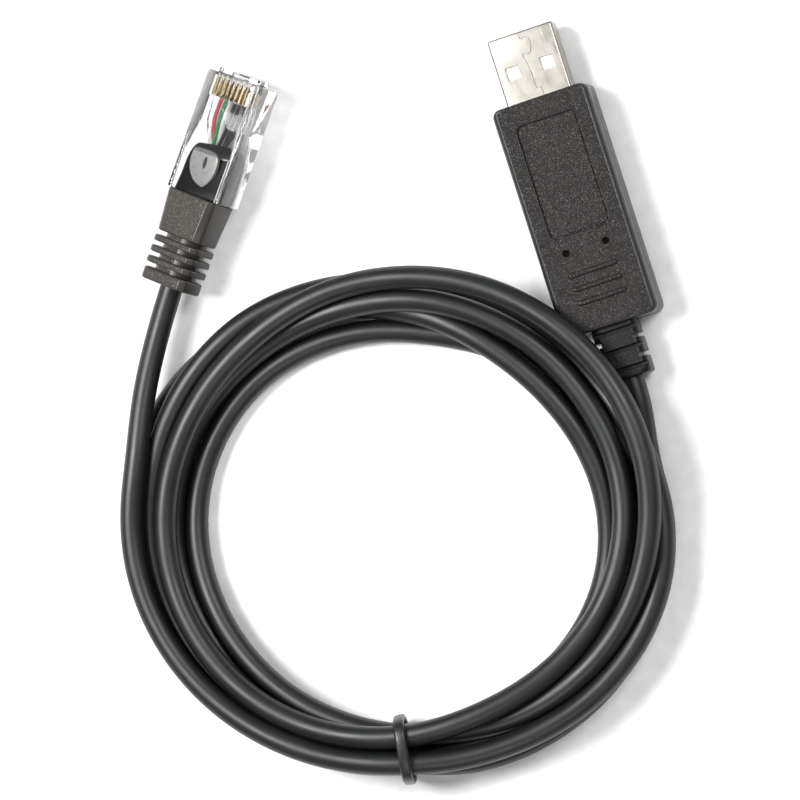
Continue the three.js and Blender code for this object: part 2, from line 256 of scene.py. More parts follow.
@dataclass(frozen=True)
class Finish:
    """A named surface with its colour and gloss, drawn by the kinds of finish below."""

    name: str
    colour: Colour
    roughness: float

    def sockets(self) -> dict[str, Any]:
        """The shader's own constant values."""
        return {"Roughness": self.roughness}

    def draw(self, coat: Coat) -> None:
        """Adds the finish's pattern, which each kind of finish has its own of.

        Args:
            coat: The material's nodes.
        """
        raise NotImplementedError

    def material(self) -> bpy.types.Material:
        """Makes the material once and hands it out again after that."""
        made = bpy.data.materials.get(self.name)
        if made is None:
            made = bpy.data.materials.new(self.name)
            made.use_nodes = True
            coat = Coat(made.node_tree, self.colour)
            for name, value in self.sockets().items():
                coat.shader.inputs[name].default_value = value
            self.draw(coat)
        return made


@dataclass(frozen=True)
class MouldedBlack(Finish):
    """Moulded black plastic, pebbled where it faces one way, smooth elsewhere and painted darker there as
    painted shade.
    """

    pebble: float = 0.42
    depth: float = 0.05
    facing: Point = (0.0, 0.0, 1.0)
    smooth: float = 0.34
    shine: float = 0.5
    # side: share of the colour kept on faces that face other ways, painted shade
    side: float = 0.5
    # contrast: how much lighter the raised pebbles are painted, a painted highlight, and how much the cloudy
    # tone varies
    contrast: float = 0.6

    def sockets(self) -> dict[str, Any]:
        """The shader's own constant values."""
        return {"Roughness": self.roughness, "Specular IOR Level": self.shine}

    def draw(self, coat: Coat) -> None:
        """Adds the pebbles, their mask, dust and soft wear, painted highlights on the raised pebbles and
        painted shade on the other faces.

        Args:
            coat: The material's nodes.
        """
        normal = coat.add("ShaderNodeTexCoord").outputs["Normal"]
        towards = coat.add("ShaderNodeVectorMath", {0: normal, 1: self.facing}, operation="DOT_PRODUCT")
        flat = coat.spread(coat.maths("ABSOLUTE", towards.outputs["Value"]), 0.965, 0.995)
        grains = coat.speckle(self.pebble, 3.0, 0.55)
        pebbles = coat.spread(grains, 0.38, 0.62)
        fine = coat.speckle(0.09, 1.0)
        height = coat.maths("MULTIPLY_ADD", pebbles, flat, coat.maths("MULTIPLY", fine, 0.12))
        coat.emboss(height, self.depth)
        cloud = coat.speckle(6.0, 3.0)
        # Painted highlight: raised pebbles on the facing side get a lighter colour, mixed with a random
        # cloudy tone
        pebble_glint_and_cloud = coat.maths("MULTIPLY_ADD", pebbles, coat.maths("MULTIPLY", flat, 0.5),
                            coat.maths("MULTIPLY", cloud, 0.5))
        face = coat.blend(pebble_glint_and_cloud, *coat.tones(self.contrast))
        # Painted shade: faces that face other ways get the colour darkened by side
        plain = (*[c * self.side for c in self.colour], 1.0)
        coat.drive("Base Color", coat.blend(flat, plain, face))
        gloss = coat.spread(flat, 0.0, 1.0, self.smooth, self.roughness)
        worn = coat.maths("ADD", gloss, coat.spread(cloud, 0.3, 0.7, -0.03, 0.03))
        coat.drive("Roughness", worn)


@dataclass(frozen=True)
class CableJacket(Finish):
    """Satin black cable sheath with faint drawing lines along the cable."""

    def draw(self, coat: Coat) -> None:
        """Adds the drawing lines, a fine matt grain and rubbed patches.

        Args:
            coat: The material's nodes.
        """
        own = coat.add("ShaderNodeAttribute", attribute_name="along").outputs["Vector"]
        lines = coat.stretched(0.3, (1.0, 1.0, 0.02), place=own)
        grain = coat.speckle(0.12, 2.0, 0.6, place=own)
        waves = coat.speckle(5.0, 1.0, place=own)
        height = coat.maths("MULTIPLY_ADD", lines, 0.5, coat.maths("MULTIPLY", grain, 0.4))
        height = coat.maths("MULTIPLY_ADD", waves, 2.5, height)
        coat.emboss(height, 0.02)
        rubbed = coat.speckle(9.0, 4.0, 0.6, place=own)
        coat.tint(rubbed, 0.3)
        gloss = coat.spread(coat.maths("MULTIPLY_ADD", lines, 0.4, coat.maths("MULTIPLY", rubbed, 0.6)),
                            0.3, 0.7, self.roughness - 0.05, self.roughness + 0.07)
        coat.drive("Roughness", gloss)


@dataclass(frozen=True)
class StampedMetal(Finish):
    """Plated sheet metal with a fine rolled grain and small scratches."""

    grain: float = 0.1

    def sockets(self) -> dict[str, Any]:
        """The shader's own constant values."""
        return {"Metallic": 1.0, "Roughness": self.roughness}

    def draw(self, coat: Coat) -> None:
        """Adds the rolled grain, scratches and a cloudy tarnish.

        Args:
            coat: The material's nodes.
        """
        grain = coat.stretched(self.grain, (1.0, 0.06, 1.0))
        scratches = coat.spread(coat.stretched(0.45, (1.0, 0.08, 1.0), 0.5, 3.0, 0.7), 0.66, 0.72)
        cloud = coat.speckle(2.5, 3.0)
        height = coat.maths("SUBTRACT", coat.maths("MULTIPLY", grain, 0.5), scratches)
        coat.emboss(height, 0.006)
        coat.tint(cloud, 0.12)
        gloss = coat.spread(coat.maths("ADD", coat.maths("MULTIPLY", grain, 0.5),
                                       coat.maths("MULTIPLY", cloud, 0.5)),
                            0.3, 0.7, self.roughness - 0.06, self.roughness + 0.08)
        coat.drive("Roughness", gloss)


@dataclass(frozen=True)
class MouldedClear(Finish):
    """Clear moulded plastic with faint flow lines."""

    index: float = 1.5

    def sockets(self) -> dict[str, Any]:
        """The shader's own constant values."""
        return {"Roughness": self.roughness, "IOR": self.index, "Transmission Weight": 1.0}

    def draw(self, coat: Coat) -> None:
        """Adds flow lines and the faint grey tone of the plastic.

        Args:
            coat: The material's nodes.
        """
        flow = coat.speckle(1.6, 1.0)
        fine = coat.speckle(0.25, 2.0)
        coat.emboss(coat.maths("MULTIPLY_ADD", fine, 0.12, flow), 0.02)
        coat.tint(flow, 0.03)


@dataclass(frozen=True)
class MouldedPlain(Finish):
    """Evenly coloured plastic with a fine grain, such as wire covering or an insulator."""

    grain: float = 0.3
    glow: float = 0.0

    def sockets(self) -> dict[str, Any]:
        """The shader's own constant values."""
        return {"Roughness": self.roughness, "Subsurface Weight": self.glow,
                "Subsurface Scale": 0.5 * METRE}

    def draw(self, coat: Coat) -> None:
        """Adds the grain and a soft change of tone.

        Args:
            coat: The material's nodes.
        """
        grain = coat.speckle(self.grain, 2.0)
        cloud = coat.speckle(3.0, 2.0)
        coat.emboss(grain, 0.02)
        coat.tint(cloud, 0.12)
        gloss = coat.spread(grain, 0.3, 0.7, self.roughness - 0.05, self.roughness + 0.05)
        coat.drive("Roughness", gloss)


class Finishes:
    """Every finish of the part, named once."""

    metal = StampedMetal("plated steel", (0.33, 0.315, 0.285), 0.37)
    gold = StampedMetal("gilt contact", (0.88, 0.74, 0.48), 0.25, grain=0.06)
    insulator = MouldedPlain("white insulator", (0.82, 0.81, 0.77), 0.4, glow=0.15)
    housing = MouldedBlack("pebbled housing", (0.027, 0.0245, 0.023), 0.5, pebble=0.36, depth=0.2)
    relief = MouldedBlack("ribbed strain relief", (0.008, 0.008, 0.008), 0.5, depth=0.05, shine=0.22)
    jacket = CableJacket("satin sheath", (0.0048, 0.0055, 0.0054), 0.41)
    tie = MouldedPlain("black tie", (0.008, 0.008, 0.009), 0.38, grain=0.5)
    clear = MouldedClear("clear plug", (0.97, 0.97, 0.97), 0.03)
    pressed = MouldedPlain("pressed clear plastic", (0.2, 0.2, 0.195), 0.3, grain=0.8, glow=0.3)
    table = MouldedPlain("pale table", (0.9, 0.9, 0.9), 0.6, grain=4.0)

    @staticmethod
    def boot(up: Vector) -> MouldedBlack:
        """The boot's finish, pebbled on its two broad sides, with painted shade on its other faces.

        Args:
            up: The way the boot's top faces.

        Returns:
            The finish.
        """
        return MouldedBlack("pebbled boot", (0.052, 0.046, 0.038), 0.48, pebble=0.34, depth=0.16,
                            facing=tuple(up))

    @staticmethod
    def wire(tone: str, colour: Colour) -> MouldedPlain:
        """The covering of one wire.

        Args:
            tone: The colour's plain name.
            colour: The colour itself.

        Returns:
            The finish.
        """
        return MouldedPlain(f"{tone} wire covering", colour, 0.4)


class Workshop:
    """Turns outlines, lofts and node forms into finished pieces."""

    @staticmethod
    def show(name: str, mesh: bpy.types.Mesh) -> bpy.types.Object:
        """Puts a mesh in the scene.

        Args:
            name: The new object's name.
            mesh: Its mesh.

        Returns:
            The new object.
        """
        piece = bpy.data.objects.new(name, mesh)
        bpy.context.scene.collection.objects.link(piece)
        return piece

    @staticmethod
    def outline(half_x: float, half_y: float, radius: float, steps: int = 6) -> list[Station]:
        """A rectangle with round corners, anticlockwise.

        Args:
            half_x: Half its size across.
            half_y: Half its size up.
            radius: Its corners' radius.
            steps: Steps in each corner.

        Returns:
            Its points.
        """
        radius = min(radius, half_x, half_y)
        points = []
        for turn, (sx, sy) in enumerate([(1, 1), (-1, 1), (-1, -1), (1, -1)]):
            for k in range(steps + 1):
                angle = math.radians(90 * (turn + k / steps))
                points.append((sx * (half_x - radius) + radius * math.cos(angle),
                               sy * (half_y - radius) + radius * math.sin(angle)))
        return points

    @staticmethod
    def oval(half_x: float, half_y: float, count: int) -> list[Station]:
        """An oval, anticlockwise.

        Args:
            half_x: Half its size across.
            half_y: Half its size up.
            count: How many points it has.

        Returns:
            Its points.
        """
        return [(half_x * math.cos(t), half_y * math.sin(t))
                for t in np.linspace(0, 2 * math.pi, count + 1)[:-1]]

    @classmethod
    def across(cls, rows: Iterable[tuple[float, ...]], steps: int) -> list[Ring]:
        """Round-cornered outlines that stand across a piece, one behind the other.

        Args:
            rows: Each one's place along the piece, half width, half height, middle height
                and corner radius.
            steps: Steps in each corner.

        Returns:
            The outlines.
        """
        return [[Vector((x, y, z + middle)) for x, z in cls.outline(half_x, half_z, corner, steps)]
                for y, half_x, half_z, middle, corner in rows]

    @staticmethod
    def mesh(name: str, form: bmesh.types.BMesh) -> bpy.types.Mesh:
        """Keeps a skin as a mesh and frees it.

        Args:
            name: The mesh's name.
            form: The skin.

        Returns:
            The mesh.
        """
        mesh = bpy.data.meshes.new(name)
        form.to_mesh(mesh)
        form.free()
        return mesh

    @staticmethod
    def loft(rings: Sequence[Sequence[Vector]], hollow: bool = False) -> bmesh.types.BMesh:
        """Skins a row of rings that have the same number of points.

        Args:
            rings: The rings, in order.
            hollow: Whether the last ring joins the first instead of two end caps.

        Returns:
            The closed skin.
        """
        form = bmesh.new()
        rows = [[form.verts.new(p) for p in ring] for ring in rings]
        pairs = list(zip(rows, rows[1:] + rows[:1])) if hollow else list(zip(rows, rows[1:]))
        for low, high in pairs:
            for k in range(len(low)):
                n = (k + 1) % len(low)
                form.faces.new((low[k], low[n], high[n], high[k]))
        if not hollow:
            form.faces.new(list(reversed(rows[0])))
            form.faces.new(rows[-1])
        bmesh.ops.recalc_face_normals(form, faces=form.faces)
        return form

    @classmethod
    def solid(cls, name: str, rings: Sequence[Sequence[Vector]], hollow: bool = False) -> bpy.types.Object:
        """Makes a lofted solid an object.

        Args:
            name: Its name.
            rings: Its rings, in order.
            hollow: Whether the last ring joins the first.

        Returns:
            The new object, still in millimetres.
        """
        return cls.show(name, cls.mesh(name, cls.loft(rings, hollow)))

    @staticmethod
    def settle(piece: bpy.types.Object) -> bpy.types.Object:
        """Makes a piece with modifiers a plain mesh.

        Args:
            piece: The object with its modifiers.

        Returns:
            The same object without them.
        """
        seen = piece.evaluated_get(bpy.context.evaluated_depsgraph_get())
        mesh = bpy.data.meshes.new_from_object(seen)
        piece.modifiers.clear()
        piece.data = mesh
        return piece

    @classmethod
    def carve(cls, piece: bpy.types.Object, tools: Iterable[bpy.types.Object],
              cut: Cut = Cut.TAKE) -> bpy.types.Object:
        """Cuts solids out of a piece, or joins them to it.

        Args:
            piece: The piece that is changed.
            tools: The solids, which are used up.
            cut: Whether they are taken away or joined.

        Returns:
            The same piece.
        """
        for tool in tools:
            step = piece.modifiers.new("cut", "BOOLEAN")
            step.operation, step.solver, step.object = cut.value, "EXACT", tool
            cls.settle(piece)
            bpy.data.objects.remove(tool)
        return piece

    @staticmethod
    def finish(piece: bpy.types.Object, finish: Finish, slot: Slot, nodes: Iterable[str] = (),
               place: Matrix | None = None, sharp: float = 32.0) -> bpy.types.Object:
        """Brings a piece to metres, dresses it and seats it in the frame.

        Args:
            piece: The piece, in millimetres.
            finish: Its finish.
            slot: The record's material slot, not used.
            nodes: The CAD nodes that it stands for.
            place: Where it goes, in millimetres.
            sharp: The angle past which an edge stays sharp, in degrees.

        Returns:
            The same piece.
        """
        mesh = piece.data
        mesh.transform(Matrix.Scale(METRE, 4) @ (place or Matrix.Identity(4)))
        mesh.materials.clear()
        mesh.materials.append(finish.material())
        mesh.polygons.foreach_set("material_index", [0] * len(mesh.polygons))
        mesh.polygons.foreach_set("use_smooth", [True] * len(mesh.polygons))
        mesh.set_sharp_from_angle(angle=math.radians(sharp))
        mesh.update()
        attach(piece, "root")
        if nodes:
            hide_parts(*nodes)
        LOG.info("%s: %d faces", piece.name, len(mesh.polygons))
        return piece


class Form(Board):
    """A geometry node tree with named sizes, whose result becomes a plain mesh."""

    def __init__(self, name: str) -> None:
        """Starts the tree.

        Args:
            name: The tree's name.
        """
        super().__init__(bpy.data.node_groups.new(name, "GeometryNodeTree"))
        for way in ("INPUT", "OUTPUT"):
            self.tree.interface.new_socket("Geometry", in_out=way, socket_type="NodeSocketGeometry")
        self.source = self.add("NodeGroupInput")
        self.sink = self.add("NodeGroupOutput")
        self.values: dict[str, Any] = {}

    @property
    def base(self) -> bpy.types.NodeSocket:
        """The mesh that the tree starts from."""
        return self.source.outputs[0]

    def size(self, name: str, value: float | int) -> bpy.types.NodeSocket:
        """Adds a named size.

        Args:
            name: The size's name.
            value: Its value.

        Returns:
            The socket that gives it.
        """
        kind = "NodeSocketInt" if isinstance(value, int) else "NodeSocketFloat"
        item = self.tree.interface.new_socket(name, in_out="INPUT", socket_type=kind)
        self.values[item.identifier] = value
        return next(s for s in self.source.outputs if s.identifier == item.identifier)

    def keep(self, geometry: bpy.types.NodeSocket, value: bpy.types.NodeSocket,
             kind: str) -> bpy.types.Node:
        """Remembers a value on a curve before its skin is made.

        Args:
            geometry: The curve.
            value: The value.
            kind: Its type.

        Returns:
            The node, with the curve and the value as its outputs.
        """
        node = self.add("GeometryNodeCaptureAttribute", {"Geometry": geometry}, domain="POINT")
        node.capture_items.new(kind, "Value")
        self.tree.links.new(value, node.inputs[1])
        return node

    def sweep(self, curve: bpy.types.NodeSocket, profile: bpy.types.NodeSocket,
              caps: bool = False) -> bpy.types.NodeSocket:
        """Draws a profile along a curve.

        Args:
            curve: The curve.
            profile: The outline that follows it.
            caps: Whether its ends are closed.

        Returns:
            The skin.
        """
        return self.add("GeometryNodeCurveToMesh",
                        {"Curve": curve, "Profile Curve": profile, "Fill Caps": caps}).outputs[0]

    def row(self, count: Any, first: dict[int, Any], step: dict[int, Any],
            **ways: Any) -> bpy.types.NodeSocket:
        """Repeats the base mesh in a row.

        Args:
            count: How many there are.
            first: Where the first one is, by axis.
            step: The way to the next one, by axis.
            ways: The copies' own Rotation and Scale, where they have them.

        Returns:
            The copies.
        """
        start, pace = (self.add("ShaderNodeCombineXYZ", by_axis).outputs[0]
                       for by_axis in (first, step))
        line = self.add("GeometryNodeMeshLine",
                        {"Count": count, "Start Location": start, "Offset": pace})
        return self.add("GeometryNodeInstanceOnPoints",
                        {"Points": line.outputs[0], "Instance": self.base, **ways}).outputs[0]

    def make(self, geometry: bpy.types.NodeSocket, finish: Finish, name: str,
             mesh: bpy.types.Mesh) -> bpy.types.Object:
        """Ends the tree, runs it once and keeps the plain result.

        Args:
            geometry: What the tree made.
            finish: The finish of the result.
            name: The new object's name.
            mesh: The mesh that the tree starts from.

        Returns:
            The new object, still in millimetres.
        """
        real = self.add("GeometryNodeRealizeInstances", {"Geometry": geometry})
        dressed = self.add("GeometryNodeSetMaterial",
                           {"Geometry": real.outputs[0], "Material": finish.material()})
        self.tree.links.new(dressed.outputs[0], self.sink.inputs[0])
        piece = Workshop.show(name, mesh)
        step = piece.modifiers.new("form", "NODES")
        step.node_group = self.tree
        for identifier, value in self.values.items():
            step[identifier] = value
        return Workshop.settle(piece)

    @staticmethod
    def line(points: np.ndarray, closed: bool = False) -> bpy.types.Mesh:
        """A mesh of one line of edges.

        Args:
            points: The points that it passes.
            closed: Whether its last point joins the first.

        Returns:
            The mesh.
        """
        mesh = bpy.data.meshes.new("line")
        edges = [(k, k + 1) for k in range(len(points) - 1)]
        if closed:
            edges.append((len(points) - 1, 0))
        mesh.from_pydata([tuple(p) for p in points], edges, [])
        return mesh


@dataclass
class Camera:
    """The photograph's long lens and its viewing angle."""

    target: Point = (-40.0, -21.4, 5.0)
    tilt: float = 11.0
    turn: float = 18.0
    view_width: float = 139.4
    distance: float = 1200.0
    sensor: float = 36.0

    def build(self) -> None:
        """Makes the scene's camera."""
        tilt, turn = math.radians(self.tilt), math.radians(self.turn)
        back = Vector((math.sin(tilt) * math.cos(turn), -math.sin(tilt) * math.sin(turn), math.cos(tilt)))
        up = Vector((math.sin(turn), math.cos(turn), 0.0))
        right = up.cross(back)
        lens = bpy.data.cameras.new("camera")
        lens.sensor_width = self.sensor
        lens.lens = self.sensor * self.distance / self.view_width
        lens.clip_start, lens.clip_end = 0.05, 50.0
        camera = bpy.data.objects.new("camera", lens)
        turned = Matrix((right, up, back)).transposed().to_4x4()
        place = (Vector(self.target) + back * self.distance) * METRE
        camera.matrix_world = Matrix.Translation(place) @ turned
        bpy.context.scene.collection.objects.link(camera)
        bpy.context.scene.camera = camera


@dataclass
class Studio:
    """The pale table and its soft lights."""

    table_size: float = 3000.0
    tables_dip: float = 1.5
    lights: tuple[tuple[Point, float, float], ...] = (
        ((-460.0, 250.0, 760.0), 420.0, 11.0),
        ((430.0, 170.0, 760.0), 300.0, 3.8),
        ((-60.0, -560.0, 700.0), 360.0, 1.3),
    )
    sky: float = 0.3

    def build(self) -> None:
        """Makes the table, the lights and the pale surroundings."""
        self.table()
        for k, (place, size, power) in enumerate(self.lights):
            lamp = bpy.data.lights.new(f"soft light {k + 1}", "AREA")
            lamp.shape, lamp.size, lamp.energy = "DISK", size * METRE, power
            light = bpy.data.objects.new(lamp.name, lamp)
            back = Vector(place).normalized()
            light.matrix_world = (Matrix.Translation(Vector(place) * METRE)
                                  @ back.to_track_quat("Z", "Y").to_matrix().to_4x4())
            bpy.context.scene.collection.objects.link(light)
        world = bpy.data.worlds.new("pale surroundings")
        world.use_nodes = True
        world.node_tree.nodes["Background"].inputs["Color"].default_value = (1.0, 1.0, 1.0, 1.0)
        world.node_tree.nodes["Background"].inputs["Strength"].default_value = self.sky
        bpy.context.scene.world = world
        bpy.context.scene.view_settings.view_transform = "Standard"

    def table(self) -> None:
        """Makes the table, a wide sheet just under the part."""
        rows = 24
        form = bmesh.new()
        bmesh.ops.create_grid(form, x_segments=rows, y_segments=rows, size=self.table_size / 2)
        for vert in form.verts:
            reach = max(0.0, vert.co.length / (self.table_size / 2) - 0.5)
            vert.co.z = -0.01 - self.tables_dip * reach ** 2
        mesh = Workshop.mesh("table", form)
        mesh.transform(Matrix.Scale(METRE, 4))
        mesh.materials.append(Finishes.table.material())
        Workshop.show("table", mesh)


@dataclass
class CordLay:
    """Works out how the cord lies in its coil.

    The turns are read from the picture as side steps from an oval and as levels, one row
    a turn and one entry every 30 degrees. They are then pressed apart and down until each
    strand rests on the table or on the strands under it. While they settle, each pass takes
    a share `easing` out of their waves, draws them back by `pull` and lets them sink.
    """

    diameter: float = 4.1
    centre: Point = (-46.8, -42.2, 0.0)
    turned: float = -18.0
    oval: Station = (42.4, 38.8)
    level: float = 3.55
    step: int = 3
    press: int = 1200
    tie_angle: float = 88.0
    tie_room: float = 1.45
    tie_reach: Station = (9.0, 12.0)
    spread: float = 7.0
    lift: float = 1.2
    easing: Station = (0.25, 0.06)
    pull: float = 0.02
    sink: float = 0.04
    strand_gap: float = 0.05
    block_gap: float = 0.15
    turns: tuple[tuple[Station, ...], ...] = (
        ((2.7, 0), (4.3, 0), (5.0, 0), (2.3, .35), (4.7, 0), (4.9, 0),
         (5.4, 0), (6.0, 0), (3.7, 0), (-1.1, 0), (-5.9, 1), (-6.8, 1)),
        ((-5.2, .6), (-4.4, 0), (-4.1, 0), (-2.1, .35), (-1.6, 1), (-2.4, 1),
         (-2.9, 1), (-1.6, 1), (-.3, 1), (.8, 1.3), (.2, 1.6), (-1.9, 1)),
        ((-2.4, 1), (-3.0, 1), (-3.7, 1.2), (-2.3, 2.4), (.2, 2), (-.6, 2),
         (-.8, 2), (.7, 2), (2.7, 2), (4.8, 2), (5.0, 2.7), (5.1, 2.3)),
        ((2.0, 1), (1.2, 1), (.0, 1.2), (-2.0, 1.4), (-3.2, 0), (-4.2, 0),
         (-4.4, 0), (-3.5, 0), (-3.2, .2), (-4.2, .4), (-3.8, 0), (-3.4, 0)),
        ((-.8, 0), (-.6, 0), (.3, 0), (2.1, 1.4), (1.0, 0), (1.0, 0),
         (1.0, .2), (3.6, 1), (3.3, 1), (2.2, .6), (.8, 0), (.8, 0)),
        ((4.9, 1), (5.6, 1), (2.7, 1.8), (2.0, 2.4), (3.5, 1.2), (4.3, 1.2), (4.6, 1.4)),
    )
    first: Station = (3.3, .6)
    housing_lead: tuple[Point, ...] = ((0, -30.7, 4.5), (0.05, -34.2, 4.4), (-0.15, -38.0, 4.0))
    plug_lead: tuple[Point, ...] = ((-84.7, -10.3, 6.9), (-82.0, -4.6, 6.0), (-78.3, 1.7, 5.4),
                                    (-74.6, 7.2, 5.3), (-72.8, 9.8, 5.3))
    blocks: tuple[tuple[Point, Point], ...] = (((-8.8, -20.8, 0), (8.8, 20.8, 9.0)),
                                               ((-4.1, -30.4, 1.2), (4.1, -20.8, 7.8)))

    @staticmethod
    def smooth(values: np.ndarray, width: int, share: float, times: int = 1,
               free: bool = False) -> np.ndarray:
        """Takes small waves out of a row of values and keeps its long curves.

        Args:
            values: The row.
            width: Half the length of the waves, in samples.
            share: How much goes at each pass.
            times: The number of passes.
            free: Whether the row runs on straight past its ends instead of staying level.

        Returns:
            The smoother row.
        """
        for _ in range(times):
            n = len(values)
            padded = (np.pad(values, 2 * width, mode="reflect", reflect_type="odd") if free
                      else np.pad(values, 2 * width, mode="edge"))
            level = (-padded[:n] + 4 * padded[width:n + width]
                     + 4 * padded[3 * width:n + 3 * width] - padded[4 * width:n + 4 * width]) / 6
            values = values + share * (level - values)
        return values

    def near_tie(self, angle: np.ndarray, reach: float) -> np.ndarray:
        """How near each sample is to the tie, from 0 to 1.

        Args:
            angle: The samples' angles, in degrees.
            reach: How far the tie is felt, in degrees.

        Returns:
            The nearness.
        """
        off = (angle - self.tie_angle + 180) % 360 - 180
        return np.exp(-(off / reach) ** 2)

    def rings(self) -> np.ndarray:
        """Settles the coil.

        Returns:
            The coil's centreline.
        """
        stations = np.array([self.first, *[s for turn in self.turns for s in turn]], float)
        known = 30.0 * np.arange(len(stations)) - 30
        angle = np.arange(-18, known[-1] + 12 + 1e-6, self.step)
        radius = self.diameter / 2
        side = self.smooth(np.interp(angle, known, stations[:, 0]), 3, 0.5, 40)
        height = self.smooth(np.interp(angle, known, stations[:, 1] * self.level + radius), 3, 0.5, 20)
        wanted = side.copy()
        way = -np.radians(angle)
        turn = math.radians(self.turned)
        out = np.stack([np.cos(way + turn), np.sin(way + turn)], 1)
        base = 1 / np.hypot(np.cos(way) / self.oval[0], np.sin(way) / self.oval[1])
        floor = radius + self.tie_room * self.near_tie(angle, self.tie_reach[0])
        limit = radius + 0.1 + self.spread * (1 - self.near_tie(angle, self.tie_reach[1]))
        per_turn = 360 // self.step
        for loop in range(self.press):
            share = self.easing[0] if loop < 0.75 * self.press else self.easing[1]
            for width in (1, 2, 4, 8):
                side = self.smooth(side, width, share)
                height = self.smooth(height, width, share)
            side += self.pull * (wanted - side)
            if loop < 0.9 * self.press:
                height -= self.sink
            side = np.clip(side, -limit, limit)
            for _ in range(3):
                self.part(side, height, per_turn)
                self.clear_blocks(side, height, base, out)
                height = np.maximum(height, floor)
                side = np.clip(side, -limit, limit)
            side[:2] = wanted[:2]
            height[0] = radius + self.lift
        flat = np.array(self.centre)[:2] + out * (base + side)[:, None]
        return np.column_stack([flat, height])

    def part(self, side: np.ndarray, height: np.ndarray, per_turn: int) -> None:
        """Pushes strands that press into each other apart.

        Args:
            side: Each sample's side step, which is changed.
            height: Each sample's height, which is changed.
            per_turn: Samples in one turn.
        """
        room = self.diameter + self.strand_gap
        for turns in range(1, len(self.turns)):
            off = turns * per_turn
            if off >= len(side):
                break
            a, b = slice(0, len(side) - off), slice(off, len(side))
            across, up = side[b] - side[a], height[b] - height[a]
            apart = np.maximum(np.hypot(across, up), 1e-6)
            push = 0.45 * np.maximum(0, room - apart) / apart
            side[a] -= push * across
            side[b] += push * across
            height[a] -= push * up
            height[b] += push * up

    def clear_blocks(self, side: np.ndarray, height: np.ndarray, base: np.ndarray,
                     out: np.ndarray) -> None:
        """Keeps the strands out of the housing and its strain relief.

        Args:
            side: Each sample's side step, which is changed.
            height: Each sample's height, which is changed.
            base: The oval's radius at each sample.
            out: The outward way at each sample.
        """
        room = self.diameter / 2 + self.block_gap
        place = np.column_stack([np.array(self.centre)[:2] + out * (base + side)[:, None], height])
        for low, high in self.blocks:
            near = np.clip(place, low, high)
            off = place - near
            gap = np.linalg.norm(off, axis=1)
            push = np.where((gap > 1e-6) & (gap < room), (room - gap) / np.maximum(gap, 1e-6), 0.0)
            side += push * np.einsum("ij,ij->i", off[:, :2], out)
            height += push * off[:, 2]
            height[gap <= 1e-6] += 0.3

    def route(self) -> np.ndarray:
        """The whole centreline, from the housing to the modular plug.

        Returns:
            Its points, about a millimetre apart.
        """
        inside = np.array([self.housing_lead[0]]) + [0, 1.6, 0]
        end = np.array([self.plug_lead[-1]]) + [1.1, 1.41, 0]
        line = np.vstack([inside, self.housing_lead, self.rings(), self.plug_lead, end])
        length = np.concatenate([[0], np.cumsum(np.linalg.norm(np.diff(line, axis=0), axis=1))])
        at = np.linspace(0, length[-1], int(length[-1]) + 1)
        line = np.column_stack([np.interp(at, length, line[:, k]) for k in range(3)])
        for width, times in ((1, 12), (2, 12), (3, 6)):
            line = np.column_stack([self.smooth(line[:, k], width, 0.5, times, True) for k in range(3)])
        return line


@dataclass
class Cable:
    """The cord itself, a round black sheath along its settled route."""

    lay: CordLay
    sides: int = 24

    def build(self, line: np.ndarray, carried: Sequence[Any]) -> bpy.types.Object:
        """Args:
            line: The route's points.
            carried: The pieces and nodes that hang on the cord, not used.

        Returns:
            The cord.
        """
        form = Form("round sheath along a line")
        radius = form.size("Radius", self.lay.diameter / 2)
        sides = form.size("Sides", self.sides)
        curve = form.add("GeometryNodeMeshToCurve", {"Mesh": form.base})
        travel = form.add("GeometryNodeSplineParameter").outputs["Length"]
        kept = form.keep(curve.outputs[0], travel, "FLOAT")
        outline = form.add("GeometryNodeCurvePrimitiveCircle", {"Resolution": sides, "Radius": radius})
        where = form.add("GeometryNodeInputPosition").outputs[0]
        rim = form.keep(outline.outputs[0], where, "VECTOR")
        skin = form.sweep(kept.outputs[0], rim.outputs[0], caps=True)
        apart = form.add("ShaderNodeSeparateXYZ", {0: rim.outputs[1]})
        own = form.add("ShaderNodeCombineXYZ",
                       {0: apart.outputs[0], 1: apart.outputs[1], 2: kept.outputs[1]})
        stored = form.add("GeometryNodeStoreNamedAttribute",
                          {"Geometry": skin, "Name": "along", "Value": own.outputs[0]},
                          data_type="FLOAT_VECTOR", domain="POINT")
        cable = form.make(stored.outputs[0], Finishes.jacket, "cable_sheath", Form.line(line))
        Workshop.finish(cable, Finishes.jacket, Slot.JACKET,
                        ["cable_usb_lead", "cable_coil", "cable_plug_lead"])
        return cable


